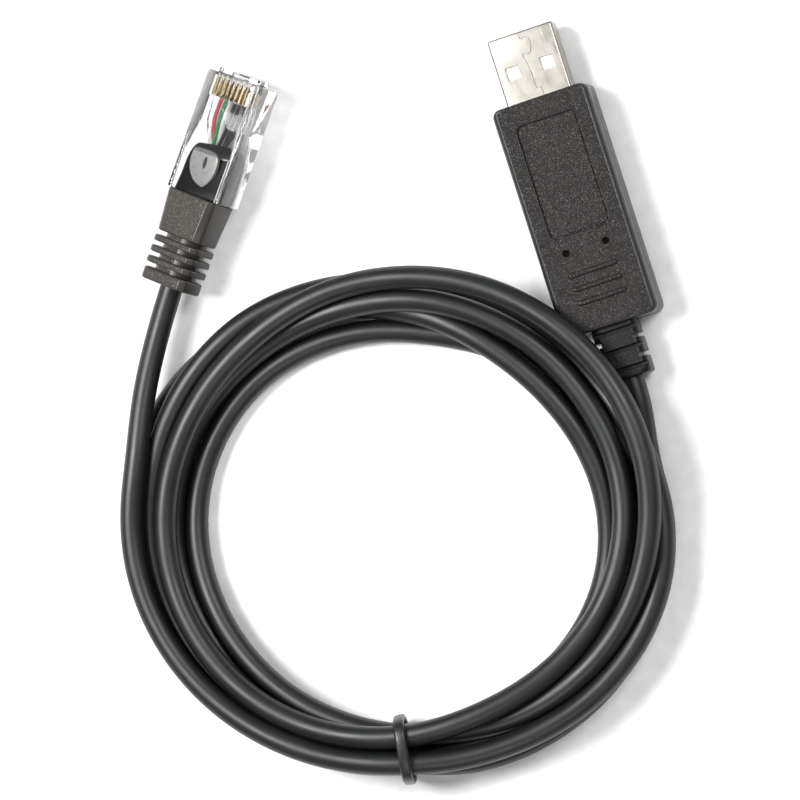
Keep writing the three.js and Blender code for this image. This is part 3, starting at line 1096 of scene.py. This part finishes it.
@dataclass
class Tie:
    """The black ring round the bundle of strands."""

    lay: CordLay
    width: float = 2.0
    thickness: float = 1.2
    rounding: float = 0.55
    steps: int = 96
    lean: Station = (0.14, 0.14)

    def plane(self) -> tuple[np.ndarray, np.ndarray]:
        """The way out from the coil's middle and the way along the strands, at the tie."""
        angle = math.radians(self.lay.turned - self.lay.tie_angle)
        out = np.array([math.cos(angle), math.sin(angle)])
        return out, np.array([-out[1], out[0]])

    def section(self, line: np.ndarray) -> np.ndarray:
        """Where the strands pass the tie.

        Args:
            line: The cord's centreline.

        Returns:
            Each strand's side step and height in the tie's plane.
        """
        out, along = self.plane()
        flat = line[:, :2] - np.array(self.lay.centre)[:2]
        here = []
        for k in range(len(line) - 1):
            a, b = flat[k] @ along, flat[k + 1] @ along
            if (a < 0) != (b < 0) and flat[k] @ out > 0:
                share = a / (a - b)
                place = line[k] + share * (line[k + 1] - line[k])
                here.append(((place[:2] - np.array(self.lay.centre)[:2]) @ out, place[2]))
        return np.array(here)

    def path(self, line: np.ndarray) -> np.ndarray:
        """The ring's own centreline, drawn tight round the strands.

        Args:
            line: The cord's centreline.

        Returns:
            Its points, in part coordinates.
        """
        strands = self.section(line)
        reach = self.lay.diameter / 2 + self.thickness / 2
        middle = (strands.min(0) + strands.max(0)) / 2
        turn = np.linspace(0, 2 * np.pi, 721)[:-1]
        ways = np.stack([np.cos(turn), np.sin(turn)], 1)
        support = ((strands - middle) @ ways.T).max(0) + reach
        soft = np.exp(-(np.arange(-40, 41) / 26) ** 2)
        support = np.convolve(np.pad(support, 40, mode="wrap"), soft / soft.sum(), "valid")
        slope = np.gradient(np.pad(support, 1, mode="wrap"), turn[1])[1:-1]
        ring = middle + support[:, None] * ways + slope[:, None] * np.stack([-ways[:, 1], ways[:, 0]], 1)
        ring[:, 1] = np.maximum(ring[:, 1], self.thickness / 2 + 0.03)
        ring = ring[::len(turn) // self.steps]
        out, along = self.plane()
        lean = self.lean[0] * (ring[:, 1] - middle[1]) + self.lean[1] * (ring[:, 0] - middle[0])
        flat = np.array(self.lay.centre)[:2] + ring[:, :1] * out + lean[:, None] * along
        return np.column_stack([flat, ring[:, 1]])

    def build(self, line: np.ndarray) -> bpy.types.Object:
        """Draws the ring round the strands.

        Args:
            line: The cord's centreline.

        Returns:
            The ring.
        """
        form = Form("strap round a bundle")
        width = form.size("Width", self.width)
        thickness = form.size("Thickness", self.thickness)
        curve = form.add("GeometryNodeMeshToCurve", {"Mesh": form.base})
        up = form.add("GeometryNodeSetCurveNormal", {"Curve": curve.outputs[0]})
        flat = form.add("GeometryNodeCurvePrimitiveQuadrilateral",
                        {"Width": thickness, "Height": width})
        soft = form.add("GeometryNodeFilletCurve", {
            "Curve": flat.outputs[0], "Radius": self.rounding, "Count": 5, "Limit Radius": True},
                        mode="POLY")
        skin = form.sweep(up.outputs[0], soft.outputs[0])
        ring = Form.line(self.path(line), closed=True)
        tie = form.make(skin, Finishes.tie, "bundle_tie", ring)
        return Workshop.finish(tie, Finishes.tie, Slot.TIE, ["coil_tie"])


@dataclass
class ConverterHousing:
    """The moulded housing: round sides, a pebbled top, a shallow panel, two holes and ribs."""

    half_width: float = 8.8
    half_length: float = 20.8
    height: float = 9.0
    side_radius: float = 1.3
    rim_radius: float = 0.5
    corner: float = 1.4
    panel: tuple[float, float, float] = (5.5, 10.35, 1.3)
    panel_from_end: float = 3.9
    panel_depth: float = 0.3
    hole_radius: float = 0.58
    hole_depth: float = 1.3
    hole_spacing: float = 7.3
    hole_from_end: float = 27.4
    rib_count: int = 3
    rib_length: float = 9.0
    rib_width: float = 0.9
    rib_pitch: float = 2.5
    rib_height: float = 0.4
    rib_from_end: float = 31.4
    shell_pocket: tuple[float, float, float] = (6.14, 2.39, 0.7)
    pocket_depth: float = 1.2
    parting: float = 0.02

    def rings(self) -> list[Ring]:
        """The housing's outlines from its underside to its top."""
        levels: list[tuple[float, float, float]] = []
        steps = 10
        for k in range(steps + 1):
            turn = math.radians(90 * k / steps)
            z = self.side_radius * (1 - math.cos(turn))
            side = self.side_radius * (1 - math.sin(turn))
            rim = 0.0 if z > self.rim_radius else self.rim_radius - math.sqrt(
                max(0.0, self.rim_radius ** 2 - (self.rim_radius - z) ** 2))
            levels.append((z, side, rim))
        middle = self.height / 2
        seam = [(middle - 0.12, 0.0, 0.0), (middle - 0.04, -self.parting, -self.parting),
                (middle + 0.04, -self.parting, -self.parting), (middle + 0.12, 0.0, 0.0)]
        top = [(self.height - z, side, rim) for z, side, rim in reversed(levels)]
        rings = []
        for z, side, rim in [*levels, *seam, *top]:
            corner = max(0.5, self.corner - 0.5 * side)
            plan = Workshop.outline(self.half_width - side, self.half_length - rim, corner, 8)
            rings.append([Vector((x, y, z)) for x, y in plan])
        return rings

    def panel_tool(self) -> bpy.types.Object:
        """The solid that presses the panel in, with a fine groove round its floor."""
        half_x, half_y, corner = self.panel
        middle = self.half_length - self.panel_from_end - half_y
        steps = [(0.5, -1.0), (0.36, -1.0), (0.32, -1.7), (0.06, -1.7), (0.0, -1.3), (0.0, -0.2),
                 (-0.05, -0.06), (-0.14, 0.0), (-0.14, 3.0)]
        rings = []
        for inset, share in steps:
            plan = Workshop.outline(half_x - inset, half_y - inset, max(0.4, corner - inset), 8)
            rings.append([Vector((x, y + middle, self.height + share * self.panel_depth)) for x, y in plan])
        return Workshop.solid("panel tool", rings)

    def hole_tool(self, side: int) -> bpy.types.Object:
        """The solid that makes one small round hole.

        Args:
            side: -1 or 1, for the left or the right hole.

        Returns:
            The solid.
        """
        x = side * self.hole_spacing / 2
        y = self.half_length - self.hole_from_end
        shape = [(0.35, -1.0), (0.75, -0.8), (0.96, -0.45), (1.0, -0.1), (1.14, 0.0), (1.14, 1.0)]
        rings = []
        for share, deep in shape:
            radius = share * self.hole_radius
            rings.append([Vector((x + px, y + py, self.height + deep * self.hole_depth))
                          for px, py in Workshop.oval(radius, radius, 28)])
        return Workshop.solid("hole tool", rings)

    def pocket_tool(self) -> bpy.types.Object:
        """The solid that leaves a fine dark line round the plug's shell."""
        half_x, half_z, corner = self.shell_pocket
        rows = [(y, half_x, half_z, self.height / 2, corner)
                for y in (self.half_length - self.pocket_depth, self.half_length + 1)]
        return Workshop.solid("pocket tool", Workshop.across(rows, 6))

    def ribs(self) -> bpy.types.Object:
        """The raised ribs, repeated by a form."""
        rings = []
        for share, inset in [(-0.5, 0.0), (0.0, 0.0), (0.45, 0.06), (0.8, 0.2), (1.0, 0.38)]:
            plan = Workshop.outline(self.rib_length / 2 - inset * self.rib_width,
                                    self.rib_width / 2 * (1 - inset), self.rib_width, 6)
            rings.append([Vector((x, y, share * self.rib_height)) for x, y in plan])
        rib = Workshop.solid("rib", rings)
        form = Form("ribs in a row")
        count = form.size("Ribs", self.rib_count)
        pitch = form.size("Pitch", self.rib_pitch)
        start = form.size("First rib", self.half_length - self.rib_from_end)
        top = form.size("Height", self.height)
        placed = form.row(count, {1: start, 2: top}, {1: form.maths("MULTIPLY", pitch, -1.0)})
        made = form.make(placed, Finishes.housing, "ribs", rib.data)
        bpy.data.objects.remove(rib)
        return made

    def build(self) -> bpy.types.Object:
        """Makes the housing with everything cut into it and raised on it.

        Returns:
            The housing.
        """
        body = Workshop.solid("converter_housing", self.rings())
        Workshop.carve(body, [self.panel_tool(), self.hole_tool(-1), self.hole_tool(1), self.pocket_tool()])
        Workshop.carve(body, [self.ribs()], Cut.JOIN)
        return Workshop.finish(body, Finishes.housing, Slot.HOUSING, ["usb_housing"])


@dataclass
class StrainRelief:
    """The soft block behind the housing, with slots across it."""

    half_width: float = 4.1
    half_height: float = 3.3
    corner: float = 1.6
    front: float = -20.7
    rear: float = -30.4
    middle: float = 4.5
    slot_count: int = 5
    slot_width: float = 0.85
    slot_pitch: float = 1.7
    slot_from_end: float = 1.25
    slot_depth: float = 0.95
    slot_soft: float = 0.12
    side_depth: float = 1.25

    def body(self) -> bpy.types.Object:
        """The block itself, round at its rear rim."""
        rows = [(y, self.half_width - inset, self.half_height - inset, self.middle, self.corner - 0.4 * inset)
                for y, inset in [(self.front, 0.0), (self.rear + 0.5, 0.0), (self.rear + 0.2, 0.12),
                                 (self.rear + 0.05, 0.32), (self.rear, 0.55)]]
        return Workshop.solid("strain_relief", Workshop.across(rows, 7))

    def slots(self) -> bpy.types.Object:
        """The slots' solids, those above and below and those in the sides by turns."""
        form = Form("slots in a row")
        count = form.size("Slots", self.slot_count)
        pitch = form.size("Pitch", self.slot_pitch)
        start = form.size("First slot", self.rear + self.slot_from_end + self.slot_width / 2)
        index = form.add("GeometryNodeInputIndex").outputs[0]
        odd = form.maths("MODULO", index, 2.0)
        reach = self.half_height - self.slot_depth
        wider = (self.half_width - self.side_depth) / reach - 1.0
        spread = form.add("ShaderNodeCombineXYZ", {
            0: 1.0, 1: 1.0, 2: form.maths("MULTIPLY_ADD", odd, wider, 1.0)})
        turned = form.add("FunctionNodeEulerToRotation",
                          {0: form.add("ShaderNodeCombineXYZ", {
                                    1: form.maths("MULTIPLY", odd, math.pi / 2)}).outputs[0]})
        placed = form.row(count, {1: start, 2: self.middle}, {1: pitch},
                          Rotation=turned.outputs[0], Scale=spread.outputs[0])
        whole = bmesh.new()
        for side in (1, -1):
            rings = []
            for z, grow in [(reach, -self.slot_soft), (reach + self.slot_soft, 0.0),
                            (reach + self.half_height, 0.0)]:
                plan = Workshop.outline(3 * self.half_width, self.slot_width / 2 + grow, 0.2, 2)
                rings.append([Vector((x, y, side * z)) for x, y in plan])
            whole.from_mesh(Workshop.mesh("half", Workshop.loft(rings)))
        return form.make(placed, Finishes.relief, "slots", Workshop.mesh("slot pair", whole))

    def build(self) -> bpy.types.Object:
        """Makes the relief.

        Returns:
            The relief.
        """
        body = Workshop.carve(self.body(), [self.slots()])
        return Workshop.finish(body, Finishes.relief, Slot.RELIEF, ["usb_strain_relief"])


@dataclass
class PlugShell:
    """The folded metal shell of the USB plug, with its latch holes and its locked seam."""

    half_width: float = 6.0
    half_height: float = 2.25
    wall: float = 0.3
    corner: float = 0.6
    rear: float = 14.8
    middle: float = 4.5
    hole: Station = (2.4, 2.3)
    hole_spacing: float = 6.3
    hole_from_front: float = 6.6
    seam_width: float = 0.13
    seam_depth: float = 0.16
    seam: tuple[Station, ...] = (
        (-0.32, 34.0), (-0.14, 31.5), (0.15, 31.42), (0.6, 31.62), (1.12, 31.5), (1.42, 31.0), (1.4, 30.2),
        (1.1, 29.2), (0.75, 28.65), (0.2, 28.55), (-0.35, 28.85), (-0.62, 28.75), (-0.5, 28.2),
        (-0.25, 27.2), (-0.06, 25.2), (-0.02, 22.5), (0.3, 22.42), (0.8, 22.5), (0.86, 21.9), (0.92, 19.5))

    def front(self) -> float:
        """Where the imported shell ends, in millimetres."""
        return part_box("usb_shell")[1][1] / METRE

    def body(self) -> bpy.types.Object:
        """The thin shell with its front lip turned in a little."""
        front = self.front()
        rows = [(self.rear, 0.0), (front - 0.5, 0.0), (front - 0.2, 0.03), (front - 0.05, 0.1),
                (front, 0.17), (front, self.wall - 0.08), (front - 0.1, self.wall),
                (self.rear, self.wall)]
        rings = Workshop.across([(y, self.half_width - inset, self.half_height - inset, self.middle,
                                  max(0.2, self.corner - inset)) for y, inset in rows], 7)
        return Workshop.solid("plug_shell", rings, hollow=True)

    def hole_tool(self, side: int) -> bpy.types.Object:
        """The solid that punches the latch holes of one side through.

        Args:
            side: -1 or 1, for the left or the right pair.

        Returns:
            The solid.
        """
        plan = Workshop.outline(self.hole[0] / 2, self.hole[1] / 2, 0.12, 3)
        y = self.front() - self.hole_from_front
        rings = [[Vector((px + side * self.hole_spacing / 2, py + y, self.middle + z)) for px, py in plan]
                 for z in (-2 * self.half_height, 2 * self.half_height)]
        return Workshop.solid("latch hole tool", rings)

    def seam_tool(self) -> bpy.types.Object:
        """The fine groove of the seam, drawn along its line by a form."""
        line = np.array([(x, y, self.middle + self.half_height) for x, y in self.seam])
        form = Form("groove along a line")
        width = form.size("Width", self.seam_width)
        depth = form.size("Depth", 2 * self.seam_depth)
        curve = form.add("GeometryNodeMeshToCurve", {"Mesh": form.base})
        flat = form.add("GeometryNodeSetCurveNormal", {"Curve": curve.outputs[0]}, mode="Z_UP")
        shape = form.add("GeometryNodeCurvePrimitiveQuadrilateral",
                         {"Width": width, "Height": depth})
        skin = form.sweep(flat.outputs[0], shape.outputs[0], caps=True)
        return form.make(skin, Finishes.metal, "seam tool", Form.line(line))

    def build(self) -> bpy.types.Object:
        """Makes the shell.

        Returns:
            The shell.
        """
        body = Workshop.carve(self.body(), [self.hole_tool(-1), self.hole_tool(1), self.seam_tool()])
        return Workshop.finish(body, Finishes.metal, Slot.METAL, ["usb_shell"])


@dataclass
class PlugFrame:
    """Where the modular plug lies: its own +Y is towards its nose, its contacts are up."""

    turn: float = -38.0
    roll: float = -23.0
    start: Station = (-72.615, 10.036)

    def matrix(self) -> Matrix:
        """Takes the plug's own millimetres to the part's."""
        low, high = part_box("rj45_jacket_end")
        height = (low[2] + high[2]) / 2 / METRE
        return (Matrix.Translation((*self.start, height)) @ Matrix.Rotation(math.radians(self.turn), 4, "Z")
                @ Matrix.Rotation(math.radians(self.roll), 4, "Y"))


@dataclass
class Boot:
    """The plug's boot: a block, bending flanges behind it and a thick end flange."""

    frame: PlugFrame
    block: tuple[float, float] = (8.85, 16.6)
    block_rear: Station = (4.8, 3.8)
    block_front: Station = (5.3, 4.15)
    chamfer: float = 1.7
    top_chamfer: float = 1.0
    end: tuple[float, float, float] = (4.9, 3.7, 2.2)
    flange: Station = (4.95, 3.85)
    flange_count: int = 3
    flange_thickness: float = 1.15
    flange_space: float = 0.8
    core: Station = (3.9, 3.25)

    def section(self, half_x: float, half_z: float, y: float, inset: float = 0.0) -> Ring:
        """One outline across the boot, a rectangle with soft chamfers.

        Args:
            half_x: Half its width.
            half_z: Half its height.
            y: Where it is along the boot.
            inset: How far it is drawn in.

        Returns:
            The outline.
        """
        a, b, c = half_x - inset, half_z - inset, self.chamfer - 0.4 * inset
        t = self.top_chamfer - 0.2 * inset
        points: Ring = []
        corners = [(a, b - t), (a - t, b), (-a + t, b), (-a, b - t), (-a, -b + c), (-a + c, -b),
                   (a - c, -b), (a, -b + c)]
        for k, here in enumerate(corners):
            before = Vector(corners[k - 1])
            after = Vector(corners[(k + 1) % len(corners)])
            here = Vector(here)
            start = here + (before - here).normalized() * 0.35
            stop = here + (after - here).normalized() * 0.35
            for share in (0.0, 0.33, 0.67, 1.0):
                flat = start * (1 - share) ** 2 + here * 2 * share * (1 - share) + stop * share ** 2
                points.append(Vector((flat.x, y, flat.y)))
        return points

    def slab(self, name: str, rear: Station, front: Station, low: float, high: float,
             soft: float = 0.28) -> bpy.types.Object:
        """A slab across the boot with soft rims.

        Args:
            name: Its name.
            rear: Half its width and height at its rear.
            front: The same at its front.
            low: Where it starts along the boot.
            high: Where it ends.
            soft: The radius of its rims.

        Returns:
            The slab.
        """
        rows = [(low + soft * (1 - math.sin(t)), soft * (1 - math.cos(t)))
                for t in map(math.radians, (90, 68, 45, 22, 0))]
        rows += [(high - (y - low), inset) for y, inset in reversed(rows)]
        rings = []
        for y, inset in rows:
            share = (y - low) / (high - low)
            rings.append(self.section(rear[0] + share * (front[0] - rear[0]),
                                      rear[1] + share * (front[1] - rear[1]), y, inset))
        return Workshop.solid(name, rings)

    def core_solid(self) -> bpy.types.Object:
        """The round core that shows between the flanges."""
        half_x, half_z = self.core
        rings = [[Vector((x, y, z)) for x, z in Workshop.oval(half_x - inset, half_z - inset, 48)]
                 for y, inset in [(0.3, 0.4), (0.6, 0.0), (self.block[0] + 0.5, 0.0)]]
        return Workshop.solid("boot core", rings)

    def flanges(self) -> bpy.types.Object:
        """The bending flanges, repeated by a form."""
        one = self.slab("flange", self.flange, self.flange, 0.0, self.flange_thickness, 0.24)
        form = Form("flanges in a row")
        count = form.size("Flanges", self.flange_count)
        pitch = form.size("Pitch", self.flange_thickness + self.flange_space)
        start = form.size("First flange", self.end[2] + self.flange_space)
        made = form.make(form.row(count, {1: start}, {1: pitch}), Finishes.relief, "flanges", one.data)
        bpy.data.objects.remove(one)
        return made

    def build(self) -> bpy.types.Object:
        """Makes the boot.

        Returns:
            The boot.
        """
        body = self.slab("plug_boot", self.block_rear, self.block_front, *self.block)
        end = self.slab("end flange", self.end[:2], self.end[:2], 0.0, self.end[2], 0.35)
        Workshop.carve(body, [self.core_solid(), end, self.flanges()], Cut.JOIN)
        place = self.frame.matrix()
        up = (place.to_3x3() @ Vector((0, 0, 1))).normalized()
        return Workshop.finish(body, Finishes.boot(up), Slot.BOOT, ["rj45_boot"], place)


@dataclass
class ModularPlug:
    """The clear plug: its body with cavity, window and contact slots, its latch, flap and sleeve."""

    frame: PlugFrame
    half_width: float = 5.84
    half_height: float = 3.25
    rear: float = 16.62
    nose: float = 38.4
    corner: float = 0.35
    cavity_end: float = 29.5
    window: tuple[float, float, float] = (4.9, 16.3, 24.2)
    channel: tuple[float, float, float] = (4.35, 0.1, 1.5)
    slot_count: int = 8
    slot_pitch: float = 1.02
    slot: tuple[float, float, float] = (0.5, 34.2, 0.3)
    latch_width: Station = (3.0, 1.6)
    latch_thickness: float = 0.8
    latch_root: float = 37.5
    latch_step: float = 24.5
    latch_end: float = 17.7
    latch_drop: float = 1.85
    flap: tuple[Station, ...] = ((-2.6, 24.7), (-1.2, 24.95), (0.6, 24.95), (2.2, 24.6), (2.75, 23.2),
                                 (2.6, 21.4), (2.0, 19.8), (1.0, 18.6), (0.2, 18.45), (-1.4, 19.1),
                                 (-2.7, 20.6), (-3.2, 22.4), (-3.1, 24.0))
    flap_drop: float = 0.65
    flap_bend: Station = (24.6, 6.2)
    mark: Station = (0.1, 22.6)
    mark_reach: Station = (0.42, 1.15)
    rail_x: float = 5.3
    rail_depth: float = 0.32
    rail_end: float = 26.6
    sleeve: tuple[tuple[float, float, float, float], ...] = (
        (16.22, 4.9, 2.35, 0.1), (16.62, 5.05, 2.45, 0.1), (18.0, 5.05, 2.3, 0.0), (20.0, 5.02, 2.15, -0.1),
        (23.0, 4.95, 2.05, -0.1), (24.4, 4.7, 2.05, -0.1), (25.6, 4.0, 1.9, 0.0), (26.1, 3.5, 1.6, 0.05),
        (26.2, 2.9, 1.2, 0.05))
    sleeve_skew: float = 0.14
    nose_tab: tuple[Station, Station, Station] = ((-4.5, 4.5), (37.9, 39.3), (-1.2, 2.1))

    def block(self) -> bpy.types.Object:
        """The body's outer shape with soft rims."""
        rows = [(self.rear, 0.2), (self.rear + 0.06, 0.06), (self.rear + 0.2, 0.0), (self.nose - 0.45, 0.0),
                (self.nose - 0.15, 0.12), (self.nose, 0.42)]
        rows = [(y, self.half_width - inset, self.half_height - inset, 0.0, self.corner) for y, inset in rows]
        return Workshop.solid("plug_body", Workshop.across(rows, 4))

    def box(self, x: Station, y: Station, z: Station, soft: float = 0.12) -> bpy.types.Object:
        """A cutting block with soft edges along the plug.

        Args:
            x: Its sides across.
            y: Its ends along the plug.
            z: Its underside and top.
            soft: The radius of its long edges.

        Returns:
            The block.
        """
        plan = Workshop.outline((x[1] - x[0]) / 2, (z[1] - z[0]) / 2, soft, 2)
        rings = [[Vector((px + (x[0] + x[1]) / 2, py, pz + (z[0] + z[1]) / 2)) for px, pz in plan]
                 for py in y]
        return Workshop.solid("block tool", rings)

    def cavity(self) -> bpy.types.Object:
        """The room for the sheath, narrowing to the wires' channel."""
        rows = [(self.rear - 1, 5.3, -2.6, 2.6), (self.rear + 0.8, 5.2, -2.5, 2.5), (24.5, 5.1, -2.4, 2.45),
                (27.5, 4.6, -1.7, 2.1), (self.cavity_end, 4.3, -0.3, 1.8)]
        return Workshop.solid("cavity tool", Workshop.across(
            [(y, half, (high - low) / 2, (low + high) / 2, 0.5) for y, half, low, high in rows], 3))

    def slots(self) -> bpy.types.Object:
        """The eight contact slots, repeated by a form."""
        width, start, deep = self.slot
        one = self.box((-width / 2, width / 2), (start, self.nose - 0.6), (deep, self.half_height + 1), 0.05)
        form = Form("contact slots in a row")
        count = form.size("Slots", self.slot_count)
        pitch = form.size("Pitch", self.slot_pitch)
        shift = form.maths("MULTIPLY", form.maths("SUBTRACT", count, 1.0),
                           form.maths("MULTIPLY", pitch, -0.5))
        made = form.make(form.row(count, {0: shift}, {0: pitch}), Finishes.clear, "slots", one.data)
        bpy.data.objects.remove(one)
        return made

    def latch(self) -> bpy.types.Object:
        """The springy latch, from its root at the nose to its thumb piece."""
        top = -self.half_height
        length = self.latch_root - self.latch_end
        arm, thumb = self.latch_width
        rows = [(self.nose + 0.9, 2.6, -1.9, -3.0), (self.nose + 0.55, arm, -1.7, -3.5),
                (self.nose - 0.3, arm, -1.8, top - self.latch_thickness),
                (self.latch_root, arm, top - 0.25, top - 0.25 - self.latch_thickness)]
        for y, half in [(self.latch_step + 0.35, arm), (self.latch_step, arm - 0.25),
                        (self.latch_step - 0.5, thumb), (self.latch_end + 0.3, thumb),
                        (self.latch_end, thumb - 0.3)]:
            drop = self.latch_drop * (self.latch_root - y) / length
            rows.append((y, half, top - 0.05 - drop, top - self.latch_thickness + 0.05 - drop))
        return Workshop.solid("latch", Workshop.across(
            [(y, half, (high - low) / 2, (high + low) / 2, 0.2) for y, half, high, low in rows], 3))

    def build_body(self, place: Matrix) -> bpy.types.Object:
        """Makes the clear body with its latch.

        Args:
            place: The plug's place in the part.

        Returns:
            The body.
        """
        half, start, end = self.window
        reach, low, high = self.channel
        rail, depth = self.rail_x, self.rail_depth
        tools = [self.cavity(), self.slots(),
                 self.box((-half, half), (start, end), (1.0, self.half_height + 1), 0.3),
                 self.box((-reach, reach), (self.cavity_end - 0.5, self.nose - 1.6), (low, high), 0.2)]
        tools += [self.box((side * rail - depth / 2, side * rail + depth / 2), (self.rear - 1, self.rail_end),
                           (self.half_height - depth, self.half_height + 1), 0.08) for side in (-1, 1)]
        body = Workshop.carve(self.block(), tools)
        Workshop.carve(body, [self.latch(), self.box(*self.nose_tab, 0.35)], Cut.JOIN)
        return Workshop.finish(body, Finishes.clear, Slot.CLEAR, ["rj45_body"], place)

    def build_flap(self, place: Matrix) -> bpy.types.Object:
        """Makes the pressed flap that grips the sheath, with its oval tool mark.

        Args:
            place: The plug's place in the part.

        Returns:
            The flap.
        """
        middle = Vector((sum(x for x, _ in self.flap), sum(y for _, y in self.flap), 0)) / len(self.flap)
        smooth: list[Vector] = []
        for k, here in enumerate(self.flap):
            before, after = self.flap[k - 1], self.flap[(k + 1) % len(self.flap)]
            past = self.flap[(k + 2) % len(self.flap)]
            for share in (0.0, 0.25, 0.5, 0.75):
                a, b, c, d = (Vector((*p, 0)) for p in (before, here, after, past))
                smooth.append(0.5 * (2 * b + (c - a) * share + (2 * a - 5 * b + 4 * c - d) * share ** 2
                                     + (3 * b - a - 3 * c + d) * share ** 3))
        rings = []
        for grow, z in [(0.9, -0.8), (1.0, -0.7), (1.0, -0.12), (0.96, -0.03), (0.9, 0.0)]:
            ring = []
            for p in reversed(smooth):
                at = middle + (p - middle) * grow
                dip = self.flap_drop * max(0.0, (self.flap_bend[0] - at.y) / self.flap_bend[1]) ** 1.3
                ring.append(Vector((at.x, at.y, self.half_height - 0.15 + z - dip)))
            rings.append(ring)
        flap = Workshop.solid("plug_flap", rings)
        (x, y), (half_x, half_y) = self.mark, self.mark_reach
        mark = [[Vector((x + px, y + py, z)) for px, py in Workshop.oval(half_x * share, half_y * share, 20)]
                for share, z in [(0.6, 2.0), (0.9, 2.3), (1.0, 3.6)]]
        Workshop.carve(flap, [Workshop.solid("mark tool", mark)])
        return Workshop.finish(flap, Finishes.pressed, Slot.CLEAR, place=place)

    def build_sleeve(self, place: Matrix) -> bpy.types.Object:
        """Makes the sheath's flattened end inside the plug.

        Args:
            place: The plug's place in the part.

        Returns:
            The sleeve.
        """
        rings = []
        for y, half, tall, z in self.sleeve:
            plan = Workshop.outline(half, tall, 0.38 * tall, 7)
            rings.append([Vector((px, y + self.sleeve_skew * px, pz + z)) for px, pz in plan])
        sleeve = Workshop.solid("plug_sleeve", rings)
        return Workshop.finish(sleeve, Finishes.relief, Slot.JACKET, ["rj45_jacket_end"], place, sharp=50)

    def build(self) -> list[bpy.types.Object]:
        """Makes the whole plug.

        Returns:
            Its pieces.
        """
        place = self.frame.matrix()
        return [self.build_body(place), self.build_flap(place), self.build_sleeve(place)]


@dataclass
class CarriedNodes:
    """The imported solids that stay, each with its own finish."""

    wires: tuple[tuple[str, Colour], ...] = (
        ("red", (0.5, 0.04, 0.05)), ("green", (0.03, 0.26, 0.1)), ("white", (0.7, 0.7, 0.68)),
        *[("black", (0.012, 0.012, 0.013))] * 3)

    def dress(self) -> None:
        """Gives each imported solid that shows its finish."""
        finishes: dict[str, Finish] = {"usb_tongue": Finishes.insulator}
        finishes |= {f"usb_contact_{k}": Finishes.gold for k in range(1, 5)}
        finishes |= {f"rj45_contact_{k}": Finishes.gold for k in range(1, 9)}
        finishes |= {f"rj45_wire_{k + 1}": Finishes.wire(*wire) for k, wire in enumerate(self.wires)}
        for node, finish in finishes.items():
            piece = bpy.data.objects[node]
            piece.data.materials.clear()
            piece.data.materials.append(finish.material())
            LOG.info("%s: %s", node, finish.name)


def main() -> None:
    """Builds the dressed part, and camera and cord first."""
    logging.basicConfig(level=logging.INFO, format="%(name)s: %(message)s")
    Camera().build()
    lay = CordLay()
    line = lay.route()
    tie = Tie(lay).build(line)
    seat = PlugFrame()
    carried = [tie, Boot(seat).build(), *ModularPlug(seat).build(),
               *[f"rj45_contact_{k}" for k in range(1, 9)], *[f"rj45_wire_{k}" for k in range(1, 7)]]
    Cable(lay).build(line, carried)
    ConverterHousing().build()
    StrainRelief().build()
    PlugShell().build()
    CarriedNodes().dress()
    Studio().build()


if __name__ == "__main__":
    main()
